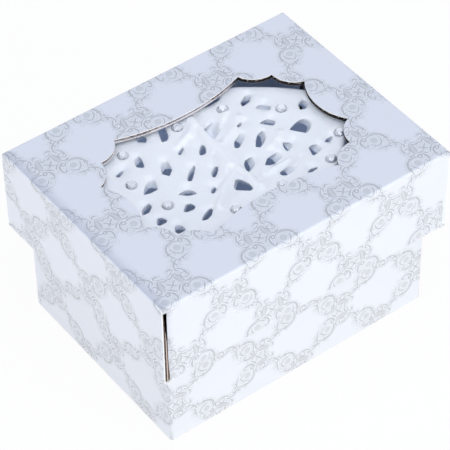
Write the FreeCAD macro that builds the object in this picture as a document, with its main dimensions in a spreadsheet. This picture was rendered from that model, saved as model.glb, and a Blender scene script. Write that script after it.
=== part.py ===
import FreeCAD, Part
import Sketcher
import math
import os

Vector = FreeCAD.Vector

# Two-piece gift box of fluted board with a printed outer sheet. A deep lid with a scalloped
# window slips over a narrower base. A pierced porcelain dome set with stones stands inside.
# Millimetres, +Z up, origin at the middle of the base's underside, front side facing -Y.
doc = FreeCAD.newDocument("window_gift_box")
sizes = doc.addObject("Spreadsheet::Sheet", "Sizes")

DRIVING_SIZES = (
    ("base_length", 93.0, "outside length of the base"),
    ("base_width", 69.0, "outside width of the base"),
    ("base_height", 60.0, "height of the base up to its rim"),
    ("board", 1.6, "thickness of the whole board, also the outer radius of a fold"),
    ("printed_sheet", 0.35, "thickness of the printed outer sheet"),
    ("inner_liner", 0.35, "thickness of the inner liner"),
    ("medium", 0.25, "thickness of the wavy ply"),
    ("flute_pitch", 3.4, "spacing of the flutes"),
    ("lid_clearance", 1.3, "gap between the lid's inside and the base"),
    ("lid_depth", 30.5, "height of the lid"),
    ("corner_gap", 0.6, "gap beside the open board end at a lid corner"),
    ("tab_length", 14.0, "length of a corner tab"),
    ("tab_taper", 1.2, "taper at the free end of a tab or rolled side"),
    ("roll_relief", 0.3, "gap that lets a rolled side pass the tabs"),
    ("glue_flap_length", 12.0, "length of the flap that closes the base"),
    ("bottom_gap", 0.5, "gap between the two outer bottom flaps"),
    ("bottom_relief", 0.8, "how far a bottom flap stops short of the base's corner"),
    ("window_end_margin", 14.3, "lid end to the nearest window points"),
    ("window_side_margin", 15.2, "lid side to the nearest window points"),
    ("window_corner_length", 14.4, "run of a stepped window corner along the lid"),
    ("window_corner_width", 13.5, "run of a stepped window corner across the lid"),
    ("window_step_length", 5.9, "middle point of the corner, along the lid"),
    ("window_step_width", 5.3, "middle point of the corner, across the lid"),
    ("window_side_sag", 3.7, "depth of the long window arcs"),
    ("window_end_sag", 3.5, "depth of the end window arcs"),
    ("window_corner_sag", 1.7, "depth of the small window arcs"),
    ("dome_clearance", 2.9, "gap between the dome and the base walls"),
    ("dome_headroom", 0.8, "gap between the dome and the lid's underside"),
    ("dome_wall", 4.0, "thickness of the porcelain"),
    ("dome_shoulder", 3.0, "depth of the dome's shoulder"),
    ("dome_offset", 2.0, "how far the dome stands towards the left end"),
    ("dome_corner_length", 20.3, "run of a cut corner of the dome along it"),
    ("dome_corner_width", 18.1, "run of a cut corner of the dome across it"),
    ("dome_side_sag", 4.5, "bulge of the dome's long sides"),
    ("dome_end_sag", 3.8, "bulge of the dome's ends"),
    ("stone_diameter", 3.4, "diameter of a set stone"),
    ("stone_height", 1.0, "height of a set stone"),
    ("seat_depth", 0.6, "depth of a stone's seat"),
    ("seat_clearance", 0.05, "gap around a stone in its seat"),
)
for row, (alias, value, meaning) in enumerate(DRIVING_SIZES, start=1):
    sizes.set(f"A{row}", meaning)
    sizes.set(f"B{row}", str(value))
    sizes.setAlias(f"B{row}", alias)
doc.recompute()

NODES = []


def number(expression):
    return float(sizes.evalExpression(expression))


# Shared places, written as expressions of the driving sizes.
BOARD = "Sizes.board"
SHEET = "Sizes.printed_sheet"
LINER = "Sizes.inner_liner"
CORE = f"({BOARD} - {SHEET})"
INNER_FOLD = f"({BOARD} - {SHEET})"
BASE_END = "(Sizes.base_length / 2)"
BASE_SIDE = "(Sizes.base_width / 2)"
RIM = "Sizes.base_height"
BOTTOM = f"(2 * {BOARD})"
LID_END = f"({BASE_END} + Sizes.lid_clearance + 2 * {BOARD})"
LID_SIDE = f"({BASE_SIDE} + Sizes.lid_clearance + 2 * {BOARD})"
LID_TOP = f"({RIM} + {BOARD})"
LID_FOOT = f"({LID_TOP} - Sizes.lid_depth)"
ROLL_TOP = f"({LID_FOOT} + {BOARD})"
LONG_FLAP_END = f"({LID_END} - {BOARD} - Sizes.corner_gap)"


# Drawing helpers: a loop is a list of corners, each with the radius and the side of the arc
# that leaves it, or with neither for a straight edge. Every corner is held by its two sizes.
def straight(points):
    return [(u, v, None, 0) for u, v in points]


def rectangle(half_u, half_v):
    low_u, low_v = f"-({half_u})", f"-({half_v})"
    return straight(((low_u, low_v), (half_u, low_v), (half_u, half_v), (low_u, half_v)))


def rounded_rectangle(half_u, half_v, radius):
    flat_u, flat_v = f"({half_u} - {radius})", f"({half_v} - {radius})"
    return [
        (f"-{flat_u}", f"-({half_v})", None, 0),
        (flat_u, f"-({half_v})", radius, -1),
        (half_u, f"-{flat_v}", None, 0),
        (half_u, flat_v, radius, -1),
        (flat_u, half_v, None, 0),
        (f"-{flat_u}", half_v, radius, -1),
        (f"-({half_u})", flat_v, None, 0),
        (f"-({half_u})", f"-{flat_v}", radius, -1),
    ]


def arc_middle(start, end, radius, side):
    chord = end - start
    half = chord.Length / 2
    sag = radius - math.sqrt(max(radius * radius - half * half, 0.0))
    normal = Vector(-chord.y, chord.x, 0) / chord.Length
    return (start + end) / 2 + normal * (side * sag)


def draw_loop(sketch, corners):
    points = [Vector(number(u), number(v), 0) for u, v, radius, side in corners]
    count = len(corners)
    edges = []
    for index, (u, v, radius, side) in enumerate(corners):
        start = points[index]
        end = points[(index + 1) % count]
        curve = Part.LineSegment(start, end)
        if radius is not None:
            curve = Part.Arc(start, arc_middle(start, end, number(radius), side), end)
        edge = sketch.addGeometry(curve, False)
        forward = (sketch.getPoint(edge, 1) - start).Length < (sketch.getPoint(edge, 2) - start).Length
        edges.append((edge, 1 if forward else 2, 2 if forward else 1))
    rules = []
    bound = []
    for index, (u, v, radius, side) in enumerate(corners):
        edge, first, last = edges[index]
        following, following_first, following_last = edges[(index + 1) % count]
        rules.append(Sketcher.Constraint("Coincident", edge, last, following, following_first))
        bound.append((len(rules), u))
        rules.append(Sketcher.Constraint("DistanceX", -1, 1, edge, first, points[index].x))
        bound.append((len(rules), v))
        rules.append(Sketcher.Constraint("DistanceY", -1, 1, edge, first, points[index].y))
        if radius is not None:
            bound.append((len(rules), radius))
            rules.append(Sketcher.Constraint("Radius", edge, number(radius)))
    offset = sketch.ConstraintCount
    sketch.addConstraint(rules)
    for index, expression in bound:
        sketch.setExpression(f"Constraints[{offset + index}]", expression)


# Feature helpers.
def new_body(label):
    body = doc.addObject("PartDesign::Body", label)
    body.Label = label
    NODES.append(body)
    return body


def origin_item(body, role):
    return [item for item in body.Origin.OriginFeatures if item.Role == role][0]


def sketch_on(body, plane, height, loops):
    sketch = body.newObject("Sketcher::SketchObject", f"{body.Label}_outline")
    sketch.AttachmentSupport = (origin_item(body, plane), [""])
    sketch.MapMode = "FlatFace"
    sketch.setExpression("AttachmentOffset.Base.z", height)
    for loop in loops:
        draw_loop(sketch, loop)
    return sketch


def pad(body, sketch, length, symmetric=False):
    feature = body.newObject("PartDesign::Pad", f"{body.Label}_pad")
    feature.Profile = sketch
    feature.setExpression("Length", length)
    if symmetric:
        feature.SideType = "Symmetric"
    body.Tip = feature
    return feature


def pocket(body, sketch, length):
    feature = body.newObject("PartDesign::Pocket", f"{body.Label}_pocket")
    feature.Profile = sketch
    feature.setExpression("Length", length)
    body.Tip = feature
    return feature


def mirrored(body, originals, plane):
    feature = body.newObject("PartDesign::Mirrored", f"{body.Label}_mirrored")
    feature.Originals = originals
    feature.MirrorPlane = (origin_item(body, plane), [""])
    body.Tip = feature
    return feature


def repeated(body, original, axis, spacing, count):
    feature = body.newObject("PartDesign::LinearPattern", f"{body.Label}_pattern")
    feature.Originals = [original]
    feature.Direction = (origin_item(body, axis), [""])
    feature.Occurrences = count
    feature.setExpression("Length", f"{spacing} * {count - 1}")
    body.Tip = feature
    return feature


def upright_panel(label, side, distance, thickness, loop):
    along_x = side in ("front", "back")
    plane = "XZ_Plane" if along_x else "YZ_Plane"
    height = distance if side in ("front", "right") else f"-({distance} + {thickness})"
    body = new_body(label)
    pad(body, sketch_on(body, plane, height, [loop]), thickness)
    return body


def flat_panel(label, height, thickness, loops):
    body = new_body(label)
    pad(body, sketch_on(body, "XY_Plane", height, loops), thickness)
    return body


# Base: printed sleeve, fluted walls. The sleeve is folded round the four corners, and the
# flutes of each wall run up to the raw rim.
sleeve_loops = [
    rounded_rectangle(BASE_END, BASE_SIDE, BOARD),
    rounded_rectangle(f"({BASE_END} - {SHEET})", f"({BASE_SIDE} - {SHEET})", INNER_FOLD),
]
flat_panel("base_printed_sleeve", BOARD, f"{RIM} - {BOARD}", sleeve_loops)

FLUTE_HEIGHT = f"({CORE} - {LINER})"
FLUTE_WIDE = 0.34
FLUTE_NARROW = 0.16


def flute_channel(side, middle, spacing, wall_face, outer):
    deep, shallow = FLUTE_NARROW, FLUTE_WIDE
    near, far = "0", f"({FLUTE_HEIGHT} - Sizes.medium)"
    if not outer:
        deep, shallow = FLUTE_WIDE, FLUTE_NARROW
        near, far = "Sizes.medium", FLUTE_HEIGHT
    profile = (
        (f"{middle} - {shallow} * {spacing}", near),
        (f"{middle} + {shallow} * {spacing}", near),
        (f"{middle} + {deep} * {spacing}", far),
        (f"{middle} - {deep} * {spacing}", far),
    )
    sign = "-" if side in ("front", "left") else ""
    points = []
    for along, depth in profile:
        across = f"{sign}({wall_face} - {depth})"
        points.append((along, across) if side in ("front", "back") else (across, along))
    return straight(points)


def base_wall(side):
    along_x = side in ("front", "back")
    half = f"({BASE_END} - {BOARD})" if along_x else f"({BASE_SIDE} - {BOARD})"
    face = f"({BASE_SIDE} - {SHEET})" if along_x else f"({BASE_END} - {SHEET})"
    axis = "X_Axis" if along_x else "Y_Axis"
    foot = BOARD if along_x else BOTTOM
    outline = straight(((f"-{half}", foot), (half, foot), (half, RIM), (f"-{half}", RIM)))
    body = upright_panel(f"base_{side}_wall", side, f"({face} - {CORE})", CORE, outline)
    count = round(2 * number(half) / number("Sizes.flute_pitch"))
    spacing = f"(2 * {half} / {count})"
    for outer in (True, False):
        first = f"({spacing} / 2 - {half})" if outer else f"({spacing} - {half})"
        loop = flute_channel(side, first, spacing, face, outer)
        cut = pocket(body, sketch_on(body, "XY_Plane", RIM, [loop]), RIM)
        repeated(body, cut, axis, spacing, count if outer else count - 1)


for side in ("front", "back", "left", "right"):
    base_wall(side)

# Base: the flap that closes the sleeve, glued inside the right wall at the back corner.
flap_start = f"({BASE_SIDE} - {BOARD})"
flap_end = f"({flap_start} - Sizes.glue_flap_length)"
flap_outline = straight((
    (flap_end, f"{BOTTOM} + Sizes.tab_taper"),
    (flap_start, BOTTOM),
    (flap_start, RIM),
    (flap_end, f"{RIM} - Sizes.tab_taper"),
))
upright_panel("base_glue_flap", "right", f"({BASE_END} - 2 * {BOARD})", BOARD, flap_outline)

# Base: four bottom flaps. The front and back flaps fold under from the walls and nearly meet in
# the middle, and the two end flaps lie on them inside.
def outer_bottom_flap(label, sign):
    fold_side = 1 if sign == "-" else -1
    profile = [
        (f"{sign}({BASE_SIDE} - {BOARD})", "0", None, 0),
        (f"{sign}(Sizes.bottom_gap / 2)", "0", None, 0),
        (f"{sign}(Sizes.bottom_gap / 2)", BOARD, None, 0),
        (f"{sign}({BASE_SIDE})", BOARD, BOARD, fold_side),
    ]
    body = new_body(label)
    length = f"2 * ({BASE_END} - Sizes.bottom_relief)"
    pad(body, sketch_on(body, "YZ_Plane", "0", [profile]), length, True)


outer_bottom_flap("base_front_bottom_flap", "-")
outer_bottom_flap("base_back_bottom_flap", "")

end_flap_end = f"({BASE_END} - {SHEET})"
end_flap_side = f"({BASE_SIDE} - {SHEET} - {INNER_FOLD})"
end_flap_tip = f"({end_flap_side} - Sizes.tab_taper)"
end_flap_reach = f"({end_flap_end} - {BASE_SIDE})"
left_flap = straight((
    (f"-{end_flap_end}", f"-{end_flap_side}"),
    (f"-{end_flap_reach}", f"-{end_flap_tip}"),
    (f"-{end_flap_reach}", end_flap_tip),
    (f"-{end_flap_end}", end_flap_side),
))
right_flap = straight((
    (end_flap_end, f"-{end_flap_side}"),
    (end_flap_end, end_flap_side),
    (end_flap_reach, end_flap_tip),
    (end_flap_reach, f"-{end_flap_tip}"),
))
flat_panel("base_left_bottom_flap", BOARD, BOARD, [left_flap])
flat_panel("base_right_bottom_flap", BOARD, BOARD, [right_flap])

# Lid: the window's outline, twelve arcs that bulge into the opening between stepped corners.
WINDOW_END = f"({LID_END} - Sizes.window_end_margin)"
WINDOW_SIDE = f"({LID_SIDE} - Sizes.window_side_margin)"
LONG_POINT = f"({WINDOW_END} - Sizes.window_corner_length)"
STEP_POINT = f"({WINDOW_END} - Sizes.window_step_length)"
STEP_SIDE = f"({WINDOW_SIDE} - Sizes.window_step_width)"
SHORT_POINT = f"({WINDOW_SIDE} - Sizes.window_corner_width)"


def sagging_radius(run, rise, sag):
    return f"((({run})^2 + ({rise})^2) / (8 * {sag}) + {sag} / 2)"


def window_loop():
    side_arc = sagging_radius(f"2 * {LONG_POINT}", "0", "Sizes.window_side_sag")
    end_arc = sagging_radius(f"2 * {SHORT_POINT}", "0", "Sizes.window_end_sag")
    long_arc = sagging_radius(
        "Sizes.window_corner_length - Sizes.window_step_length",
        "Sizes.window_step_width",
        "Sizes.window_corner_sag",
    )
    short_arc = sagging_radius(
        "Sizes.window_step_length",
        "Sizes.window_corner_width - Sizes.window_step_width",
        "Sizes.window_corner_sag",
    )
    return [
        (f"-{LONG_POINT}", f"-{WINDOW_SIDE}", side_arc, 1),
        (LONG_POINT, f"-{WINDOW_SIDE}", long_arc, 1),
        (STEP_POINT, f"-{STEP_SIDE}", short_arc, 1),
        (WINDOW_END, f"-{SHORT_POINT}", end_arc, 1),
        (WINDOW_END, SHORT_POINT, short_arc, 1),
        (STEP_POINT, STEP_SIDE, long_arc, 1),
        (LONG_POINT, WINDOW_SIDE, side_arc, 1),
        (f"-{LONG_POINT}", WINDOW_SIDE, long_arc, 1),
        (f"-{STEP_POINT}", STEP_SIDE, short_arc, 1),
        (f"-{WINDOW_END}", SHORT_POINT, end_arc, 1),
        (f"-{WINDOW_END}", f"-{SHORT_POINT}", short_arc, 1),
        (f"-{STEP_POINT}", f"-{STEP_SIDE}", long_arc, 1),
    ]


# Lid: the printed sheet. The flat top carries the window, each side folds down, turns in at
# the foot and ends in the rolled edge that meets the inner side. The long sides stop short of
# the corners, where the open board ends of the short sides show.
def fold_profile(half):
    outer = f"({half})"
    return [
        (f"-({outer} - {BOARD})", LID_TOP, BOARD, -1),
        (f"-{outer}", f"{LID_TOP} - {BOARD}", None, 0),
        (f"-{outer}", ROLL_TOP, BOARD, -1),
        (f"-({outer} - {BOARD})", LID_FOOT, None, 0),
        (f"-({outer} - {BOARD})", f"{LID_FOOT} + {SHEET}", INNER_FOLD, 1),
        (f"-({outer} - {SHEET})", ROLL_TOP, None, 0),
        (f"-({outer} - {SHEET})", f"{LID_TOP} - {BOARD}", INNER_FOLD, 1),
        (f"-({outer} - {BOARD})", f"{LID_TOP} - {SHEET}", None, 0),
    ]


def roll_profile(half):
    outer = f"({half})"
    return [
        (f"-({outer} - {BOARD})", LID_FOOT, BOARD, -1),
        (f"-({outer} - 2 * {BOARD})", ROLL_TOP, None, 0),
        (f"-({outer} - 2 * {BOARD} + {SHEET})", ROLL_TOP, INNER_FOLD, 1),
        (f"-({outer} - {BOARD})", f"{LID_FOOT} + {SHEET}", None, 0),
    ]


lid_flat = rectangle(f"({LID_END} - {BOARD})", f"({LID_SIDE} - {BOARD})")
lid_sheet = flat_panel("lid_printed_sheet", f"{LID_TOP} - {SHEET}", SHEET, [lid_flat, window_loop()])
long_fold = pad(
    lid_sheet, sketch_on(lid_sheet, "YZ_Plane", "0", [fold_profile(LID_SIDE)]), f"2 * {LONG_FLAP_END}", True
)
mirrored(lid_sheet, [long_fold], "XZ_Plane")
short_fold = pad(
    lid_sheet, sketch_on(lid_sheet, "XZ_Plane", "0", [fold_profile(LID_END)]), f"2 * {LID_SIDE}", True
)
mirrored(lid_sheet, [short_fold], "YZ_Plane")
LONG_ROLL = f"({LID_END} - 2 * {BOARD} - Sizes.roll_relief)"
SHORT_ROLL = f"({LID_SIDE} - 2 * {BOARD} - Sizes.roll_relief)"
long_roll = pad(
    lid_sheet, sketch_on(lid_sheet, "YZ_Plane", "0", [roll_profile(LID_SIDE)]), f"2 * {LONG_ROLL}", True
)
mirrored(lid_sheet, [long_roll], "XZ_Plane")
short_roll = pad(
    lid_sheet, sketch_on(lid_sheet, "XZ_Plane", "0", [roll_profile(LID_END)]), f"2 * {SHORT_ROLL}", True
)
mirrored(lid_sheet, [short_roll], "YZ_Plane")

# Lid: wavy ply and inner liner of the top, both cut by the same window. The flutes run along
# the lid, so the window's long edges show them from the side.
PLY_END = f"({LID_END} - {BOARD})"
PLY_SIDE = f"({LID_SIDE} - {BOARD})"
flute_count = round(2 * number(PLY_SIDE) / number("Sizes.flute_pitch"))
FLUTE_STEP = f"(2 * {PLY_SIDE} / {flute_count})"
FLUTE_FOOT = f"({RIM} + {LINER})"
FLUTE_CREST = f"({LID_TOP} - {SHEET})"
first_flute = f"({FLUTE_STEP} / 2 - {PLY_SIDE})"
flute_profile = straight((
    (f"{first_flute} - 0.50 * {FLUTE_STEP}", f"{FLUTE_FOOT} + Sizes.medium"),
    (f"{first_flute} - 0.50 * {FLUTE_STEP}", FLUTE_FOOT),
    (f"{first_flute} - 0.34 * {FLUTE_STEP}", FLUTE_FOOT),
    (f"{first_flute} - 0.16 * {FLUTE_STEP}", f"{FLUTE_CREST} - Sizes.medium"),
    (f"{first_flute} + 0.16 * {FLUTE_STEP}", f"{FLUTE_CREST} - Sizes.medium"),
    (f"{first_flute} + 0.34 * {FLUTE_STEP}", FLUTE_FOOT),
    (f"{first_flute} + 0.50 * {FLUTE_STEP}", FLUTE_FOOT),
    (f"{first_flute} + 0.50 * {FLUTE_STEP}", f"{FLUTE_FOOT} + Sizes.medium"),
    (f"{first_flute} + 0.34 * {FLUTE_STEP}", f"{FLUTE_FOOT} + Sizes.medium"),
    (f"{first_flute} + 0.16 * {FLUTE_STEP}", FLUTE_CREST),
    (f"{first_flute} - 0.16 * {FLUTE_STEP}", FLUTE_CREST),
    (f"{first_flute} - 0.34 * {FLUTE_STEP}", f"{FLUTE_FOOT} + Sizes.medium"),
))
fluting = new_body("lid_top_fluting")
one_flute = pad(fluting, sketch_on(fluting, "YZ_Plane", "0", [flute_profile]), f"2 * {PLY_END}", True)
repeated(fluting, one_flute, "Y_Axis", FLUTE_STEP, flute_count)
pocket(fluting, sketch_on(fluting, "XY_Plane", LID_TOP, [window_loop()]), f"2 * {BOARD}")
flat_panel("lid_top_liner", RIM, LINER, [rectangle(PLY_END, PLY_SIDE), window_loop()])

# Lid: boards of the outer sides, and the sides rolled over at the foot and folded up inside.
# Four tabs from the long sides lie behind the short sides, and the rolled ends stop at them.
def wall_outline(half):
    top = f"{LID_TOP} - {BOARD}"
    return straight(((f"-{half}", ROLL_TOP), (half, ROLL_TOP), (half, top), (f"-{half}", top)))


def rolled_outline(half):
    top = f"{LID_TOP} - {BOARD}"
    tip = f"({half} - Sizes.tab_taper)"
    return straight(((f"-{half}", ROLL_TOP), (half, ROLL_TOP), (tip, top), (f"-{tip}", top)))


TAB_FOOT = f"({LID_SIDE} - {BOARD})"
TAB_END = f"({TAB_FOOT} - Sizes.tab_length)"
ROLLED_SHORT_END = f"({TAB_END} - Sizes.roll_relief)"
for side in ("front", "back"):
    outer_distance = f"({LID_SIDE} - {BOARD})"
    upright_panel(f"lid_{side}_wall", side, outer_distance, CORE, wall_outline(LONG_FLAP_END))
    inner_distance = f"({LID_SIDE} - 2 * {BOARD})"
    upright_panel(f"lid_{side}_inner_wall", side, inner_distance, BOARD, rolled_outline(LONG_ROLL))
for side in ("left", "right"):
    outer_distance = f"({LID_END} - {BOARD})"
    upright_panel(f"lid_{side}_wall", side, outer_distance, CORE, wall_outline(LID_SIDE))
    inner_distance = f"({LID_END} - 2 * {BOARD})"
    upright_panel(f"lid_{side}_inner_wall", side, inner_distance, BOARD, rolled_outline(ROLLED_SHORT_END))

tab_outline = straight((
    (f"-{TAB_FOOT}", ROLL_TOP),
    (f"-{TAB_END}", f"{ROLL_TOP} + Sizes.tab_taper"),
    (f"-{TAB_END}", f"{LID_TOP} - {BOARD} - Sizes.tab_taper"),
    (f"-{TAB_FOOT}", f"{LID_TOP} - {BOARD}"),
))
tabs = new_body("lid_corner_tabs")
tabs.AllowCompound = True
tab_distance = f"-({LID_END} - {BOARD})"
one_tab = pad(tabs, sketch_on(tabs, "YZ_Plane", tab_distance, [tab_outline]), BOARD)
back_tab = mirrored(tabs, [one_tab], "XZ_Plane")
both_ends = tabs.newObject("PartDesign::MultiTransform", "lid_corner_tabs_all")
across = tabs.newObject("PartDesign::Mirrored", "lid_corner_tabs_across")
across.MirrorPlane = (origin_item(tabs, "YZ_Plane"), [""])
along = tabs.newObject("PartDesign::Mirrored", "lid_corner_tabs_along")
along.MirrorPlane = (origin_item(tabs, "XZ_Plane"), [""])
both_ends.Originals = [one_tab]
both_ends.Transformations = [across, along]
tabs.Tip = both_ends
doc.recompute()

# Porcelain dome: a hollow form, open underneath, with bulging sides, cut corners and a
# shoulder that falls away in two steps. It stands a little towards the left end of the box. Places
# on it are fractions of its half length and width from the middle of the box.
DOME_END = f"({BASE_END} - {BOARD} - Sizes.dome_clearance)"
DOME_SIDE = f"({BASE_SIDE} - {BOARD} - Sizes.dome_clearance)"
DOME_TOP = f"({RIM} - Sizes.dome_headroom)"
DOME_INNER_TOP = f"({DOME_TOP} - Sizes.dome_wall)"
SHOULDER_BEND = "(Sizes.dome_shoulder * (1 - sqrt(0.5)))"


def dome_loop(end, side):
    long_u = f"({end} * (1 - Sizes.dome_corner_length / {DOME_END}))"
    long_v = f"({side} * (1 - Sizes.dome_side_sag / {DOME_SIDE}))"
    short_u = f"({end} * (1 - Sizes.dome_end_sag / {DOME_END}))"
    short_v = f"({side} * (1 - Sizes.dome_corner_width / {DOME_SIDE}))"
    side_arc = sagging_radius(f"2 * {long_u}", "0", f"({side} - {long_v})")
    end_arc = sagging_radius(f"2 * {short_v}", "0", f"({end} - {short_u})")
    return [
        (f"-{long_u}", f"-{long_v}", side_arc, -1),
        (long_u, f"-{long_v}", None, 0),
        (short_u, f"-{short_v}", end_arc, -1),
        (short_u, short_v, None, 0),
        (long_u, long_v, side_arc, -1),
        (f"-{long_u}", long_v, None, 0),
        (f"-{short_u}", short_v, end_arc, -1),
        (f"-{short_u}", f"-{short_v}", None, 0),
    ]


def dome_ring(label, inset, height):
    ring = doc.addObject("Sketcher::SketchObject", label)
    draw_loop(ring, dome_loop(f"({DOME_END} - {inset})", f"({DOME_SIDE} - {inset})"))
    ring.setExpression("Placement.Base.x", "-Sizes.dome_offset")
    ring.setExpression("Placement.Base.z", height)
    return ring


def placed(feature, x, y, z, turn=0.0):
    feature.Placement = FreeCAD.Placement(Vector(0, 0, 0), FreeCAD.Rotation(Vector(0, 0, 1), turn))
    feature.setExpression("Placement.Base.x", x)
    feature.setExpression("Placement.Base.y", y)
    feature.setExpression("Placement.Base.z", z)
    return feature


def extruded(label, outline, height):
    feature = doc.addObject("Part::Extrusion", label)
    feature.Base = outline
    feature.DirMode = "Custom"
    feature.Dir = Vector(0, 0, 1)
    feature.Solid = True
    feature.setExpression("LengthFwd", height)
    return feature


def loft(label, sections):
    feature = doc.addObject("Part::Loft", label)
    feature.Sections = sections
    feature.Solid = True
    feature.Ruled = True
    return feature


dome_outside = loft(
    "dome_outside",
    [
        dome_ring("dome_foot", "0", BOTTOM),
        dome_ring("dome_wall_top", "0", f"{DOME_TOP} - Sizes.dome_shoulder"),
        dome_ring("dome_bend", SHOULDER_BEND, f"{DOME_TOP} - {SHOULDER_BEND}"),
        dome_ring("dome_crown_edge", "Sizes.dome_shoulder", DOME_TOP),
    ],
)
dome_inner_foot = dome_ring("dome_inner_foot", "Sizes.dome_wall", BOTTOM)
dome_inside = extruded("dome_inside", dome_inner_foot, f"{DOME_INNER_TOP} - {BOTTOM}")
dome_shell = doc.addObject("Part::Cut", "dome_shell")
dome_shell.Base = dome_outside
dome_shell.Tool = dome_inside

# Piercings: place along and across as fractions, half length and half width of the blunt leaf
# in millimetres at the drawn size, and its turn in degrees.
PIERCINGS = (
    (-0.67, 0.45, 1.5, 0.8, 5),
    (-0.50, 0.46, 2.0, 1.4, 70),
    (-0.34, 0.70, 1.6, 1.5, 0),
    (-0.20, 0.66, 3.4, 1.3, 60),
    (-0.20, 0.36, 1.9, 1.0, 35),
    (-0.39, 0.22, 2.2, 2.0, 30),
    (-0.08, 0.24, 1.9, 1.3, 45),
    (-0.58, 0.11, 2.9, 1.7, 4),
    (-0.28, 0.03, 3.2, 1.2, 38),
    (-0.14, -0.09, 2.0, 1.0, 38),
    (-0.71, -0.11, 2.2, 1.1, 15),
    (-0.41, -0.16, 2.6, 1.2, -40),
    (-0.25, -0.28, 1.3, 0.7, 25),
    (-0.70, -0.32, 1.4, 1.0, 0),
    (-0.48, -0.33, 1.7, 1.1, 0),
    (-0.65, -0.50, 2.0, 1.3, -15),
    (-0.42, -0.50, 2.3, 1.2, 18),
    (-0.07, -0.40, 2.7, 1.9, -60),
    (0.09, 0.40, 3.2, 1.7, 80),
    (0.17, 0.10, 2.7, 1.6, 45),
    (0.31, 0.01, 3.4, 1.5, 50),
    (0.29, 0.30, 1.5, 1.0, 20),
    (0.45, 0.15, 2.4, 1.3, -50),
    (0.48, 0.55, 2.9, 1.6, 15),
    (0.51, 0.35, 2.3, 1.1, -40),
    (0.75, 0.15, 2.0, 1.8, 40),
    (0.60, -0.10, 3.5, 2.8, 0),
    (0.10, -0.20, 2.7, 1.9, 50),
    (0.24, -0.28, 2.7, 1.7, 10),
    (0.41, -0.22, 2.3, 1.6, 70),
    (0.53, -0.41, 2.1, 1.6, 60),
    (0.67, -0.40, 1.4, 1.0, 0),
    (0.24, -0.49, 1.7, 1.2, 10),
    (0.39, -0.63, 1.1, 0.6, 0),
    (0.26, 0.72, 2.9, 1.0, 0),
)
STONES = (
    (-0.54, 0.64),
    (-0.08, 0.64),
    (0.28, 0.58),
    (-0.66, 0.26),
    (0.61, 0.24),
    (-0.58, -0.17),
    (0.78, -0.37),
    (0.57, -0.61),
    (-0.24, -0.59),
    (0.15, -0.57),
)
DRAWN_LENGTH = 42.0
SCALE = f"({DOME_END} / {DRAWN_LENGTH})"
LEAF_SHOULDER = 0.45
STONE_SIDES = 12


def leaf_loop(half_length, half_width):
    shoulder = f"({LEAF_SHOULDER} * {half_length})"
    upper = ((half_length, "0"), (shoulder, half_width), (f"-{shoulder}", half_width))
    lower = ((f"-{half_length}", "0"), (f"-{shoulder}", f"-{half_width}"), (shoulder, f"-{half_width}"))
    return straight(upper + lower)


def piercing_cutter(index, along, across, half_length, half_width, turn):
    outline = doc.addObject("Sketcher::SketchObject", f"piercing_outline_{index}")
    draw_loop(outline, leaf_loop(f"({half_length} * {SCALE})", f"({half_width} * {SCALE})"))
    foot = f"{DOME_INNER_TOP} - Sizes.dome_wall / 2"
    placed(outline, f"{along} * {DOME_END}", f"{across} * {DOME_SIDE}", foot, turn)
    return extruded(f"piercing_{index}", outline, "2 * Sizes.dome_wall")


def stone_ring(label, radius, along, across, height):
    ring = doc.addObject("Part::RegularPolygon", label)
    ring.Polygon = STONE_SIDES
    ring.setExpression("Circumradius", radius)
    return placed(ring, f"{along} * {DOME_END}", f"{across} * {DOME_SIDE}", height)


def stone_seat(index, along, across):
    radius = "Sizes.stone_diameter / 2 + Sizes.seat_clearance"
    ring = stone_ring(f"seat_ring_{index}", radius, along, across, f"{DOME_TOP} - Sizes.seat_depth")
    return extruded(f"stone_seat_{index}", ring, "2 * Sizes.seat_depth")


cutters = [piercing_cutter(index, *shape) for index, shape in enumerate(PIERCINGS, start=1)]
cutters += [stone_seat(index, *place) for index, place in enumerate(STONES, start=1)]
all_cutters = doc.addObject("Part::MultiFuse", "dome_cutters")
all_cutters.Shapes = cutters
all_cutters.Refine = False
dome = doc.addObject("Part::Cut", "pierced_dome")
dome.Label = "pierced_dome"
dome.Base = dome_shell
dome.Tool = all_cutters
dome.Refine = False
NODES.append(dome)

# Stones: flat-backed, with a straight girdle and two rows of facets up to a flat table.
STONE_LEVELS = ((1.0, 0.0), (1.0, 0.25), (0.74, 0.75), (0.42, 1.0))


def stone(index, along, across):
    sections = []
    for level, (share, rise) in enumerate(STONE_LEVELS):
        radius = f"{share} * Sizes.stone_diameter / 2"
        height = f"{DOME_TOP} - Sizes.seat_depth + {rise} * Sizes.stone_height"
        sections.append(stone_ring(f"stone_{index}_{level}", radius, along, across, height))
    return loft(f"stone_{index}", sections)


stones = doc.addObject("Part::Compound", "set_stones")
stones.Label = "set_stones"
stones.Links = [stone(index, *place) for index, place in enumerate(STONES, start=1)]
NODES.append(stones)

doc.recompute()

# Checks before writing: every feature is sound, every node holds valid solids.
for item in doc.Objects:
    if "Invalid" in item.State or "Error" in item.State:
        raise RuntimeError(f"{item.Label} did not rebuild: {item.State}")
for node in NODES:
    if node.Shape.isNull() or not node.Shape.isValid() or not node.Shape.Solids:
        raise RuntimeError(f"{node.Label} has no valid solid")

os.makedirs("parts", exist_ok=True)
for node in NODES:
    node.Shape.exportStep(f"parts/{node.Label}.step")
    box = node.Shape.BoundBox
    print(node.Label, len(node.Shape.Solids), "solids,", round(node.Shape.Volume, 1), "mm3,",
          [round(value, 2) for value in (box.XMin, box.XMax, box.YMin, box.YMax, box.ZMin, box.ZMax)])
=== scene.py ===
import math

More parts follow.
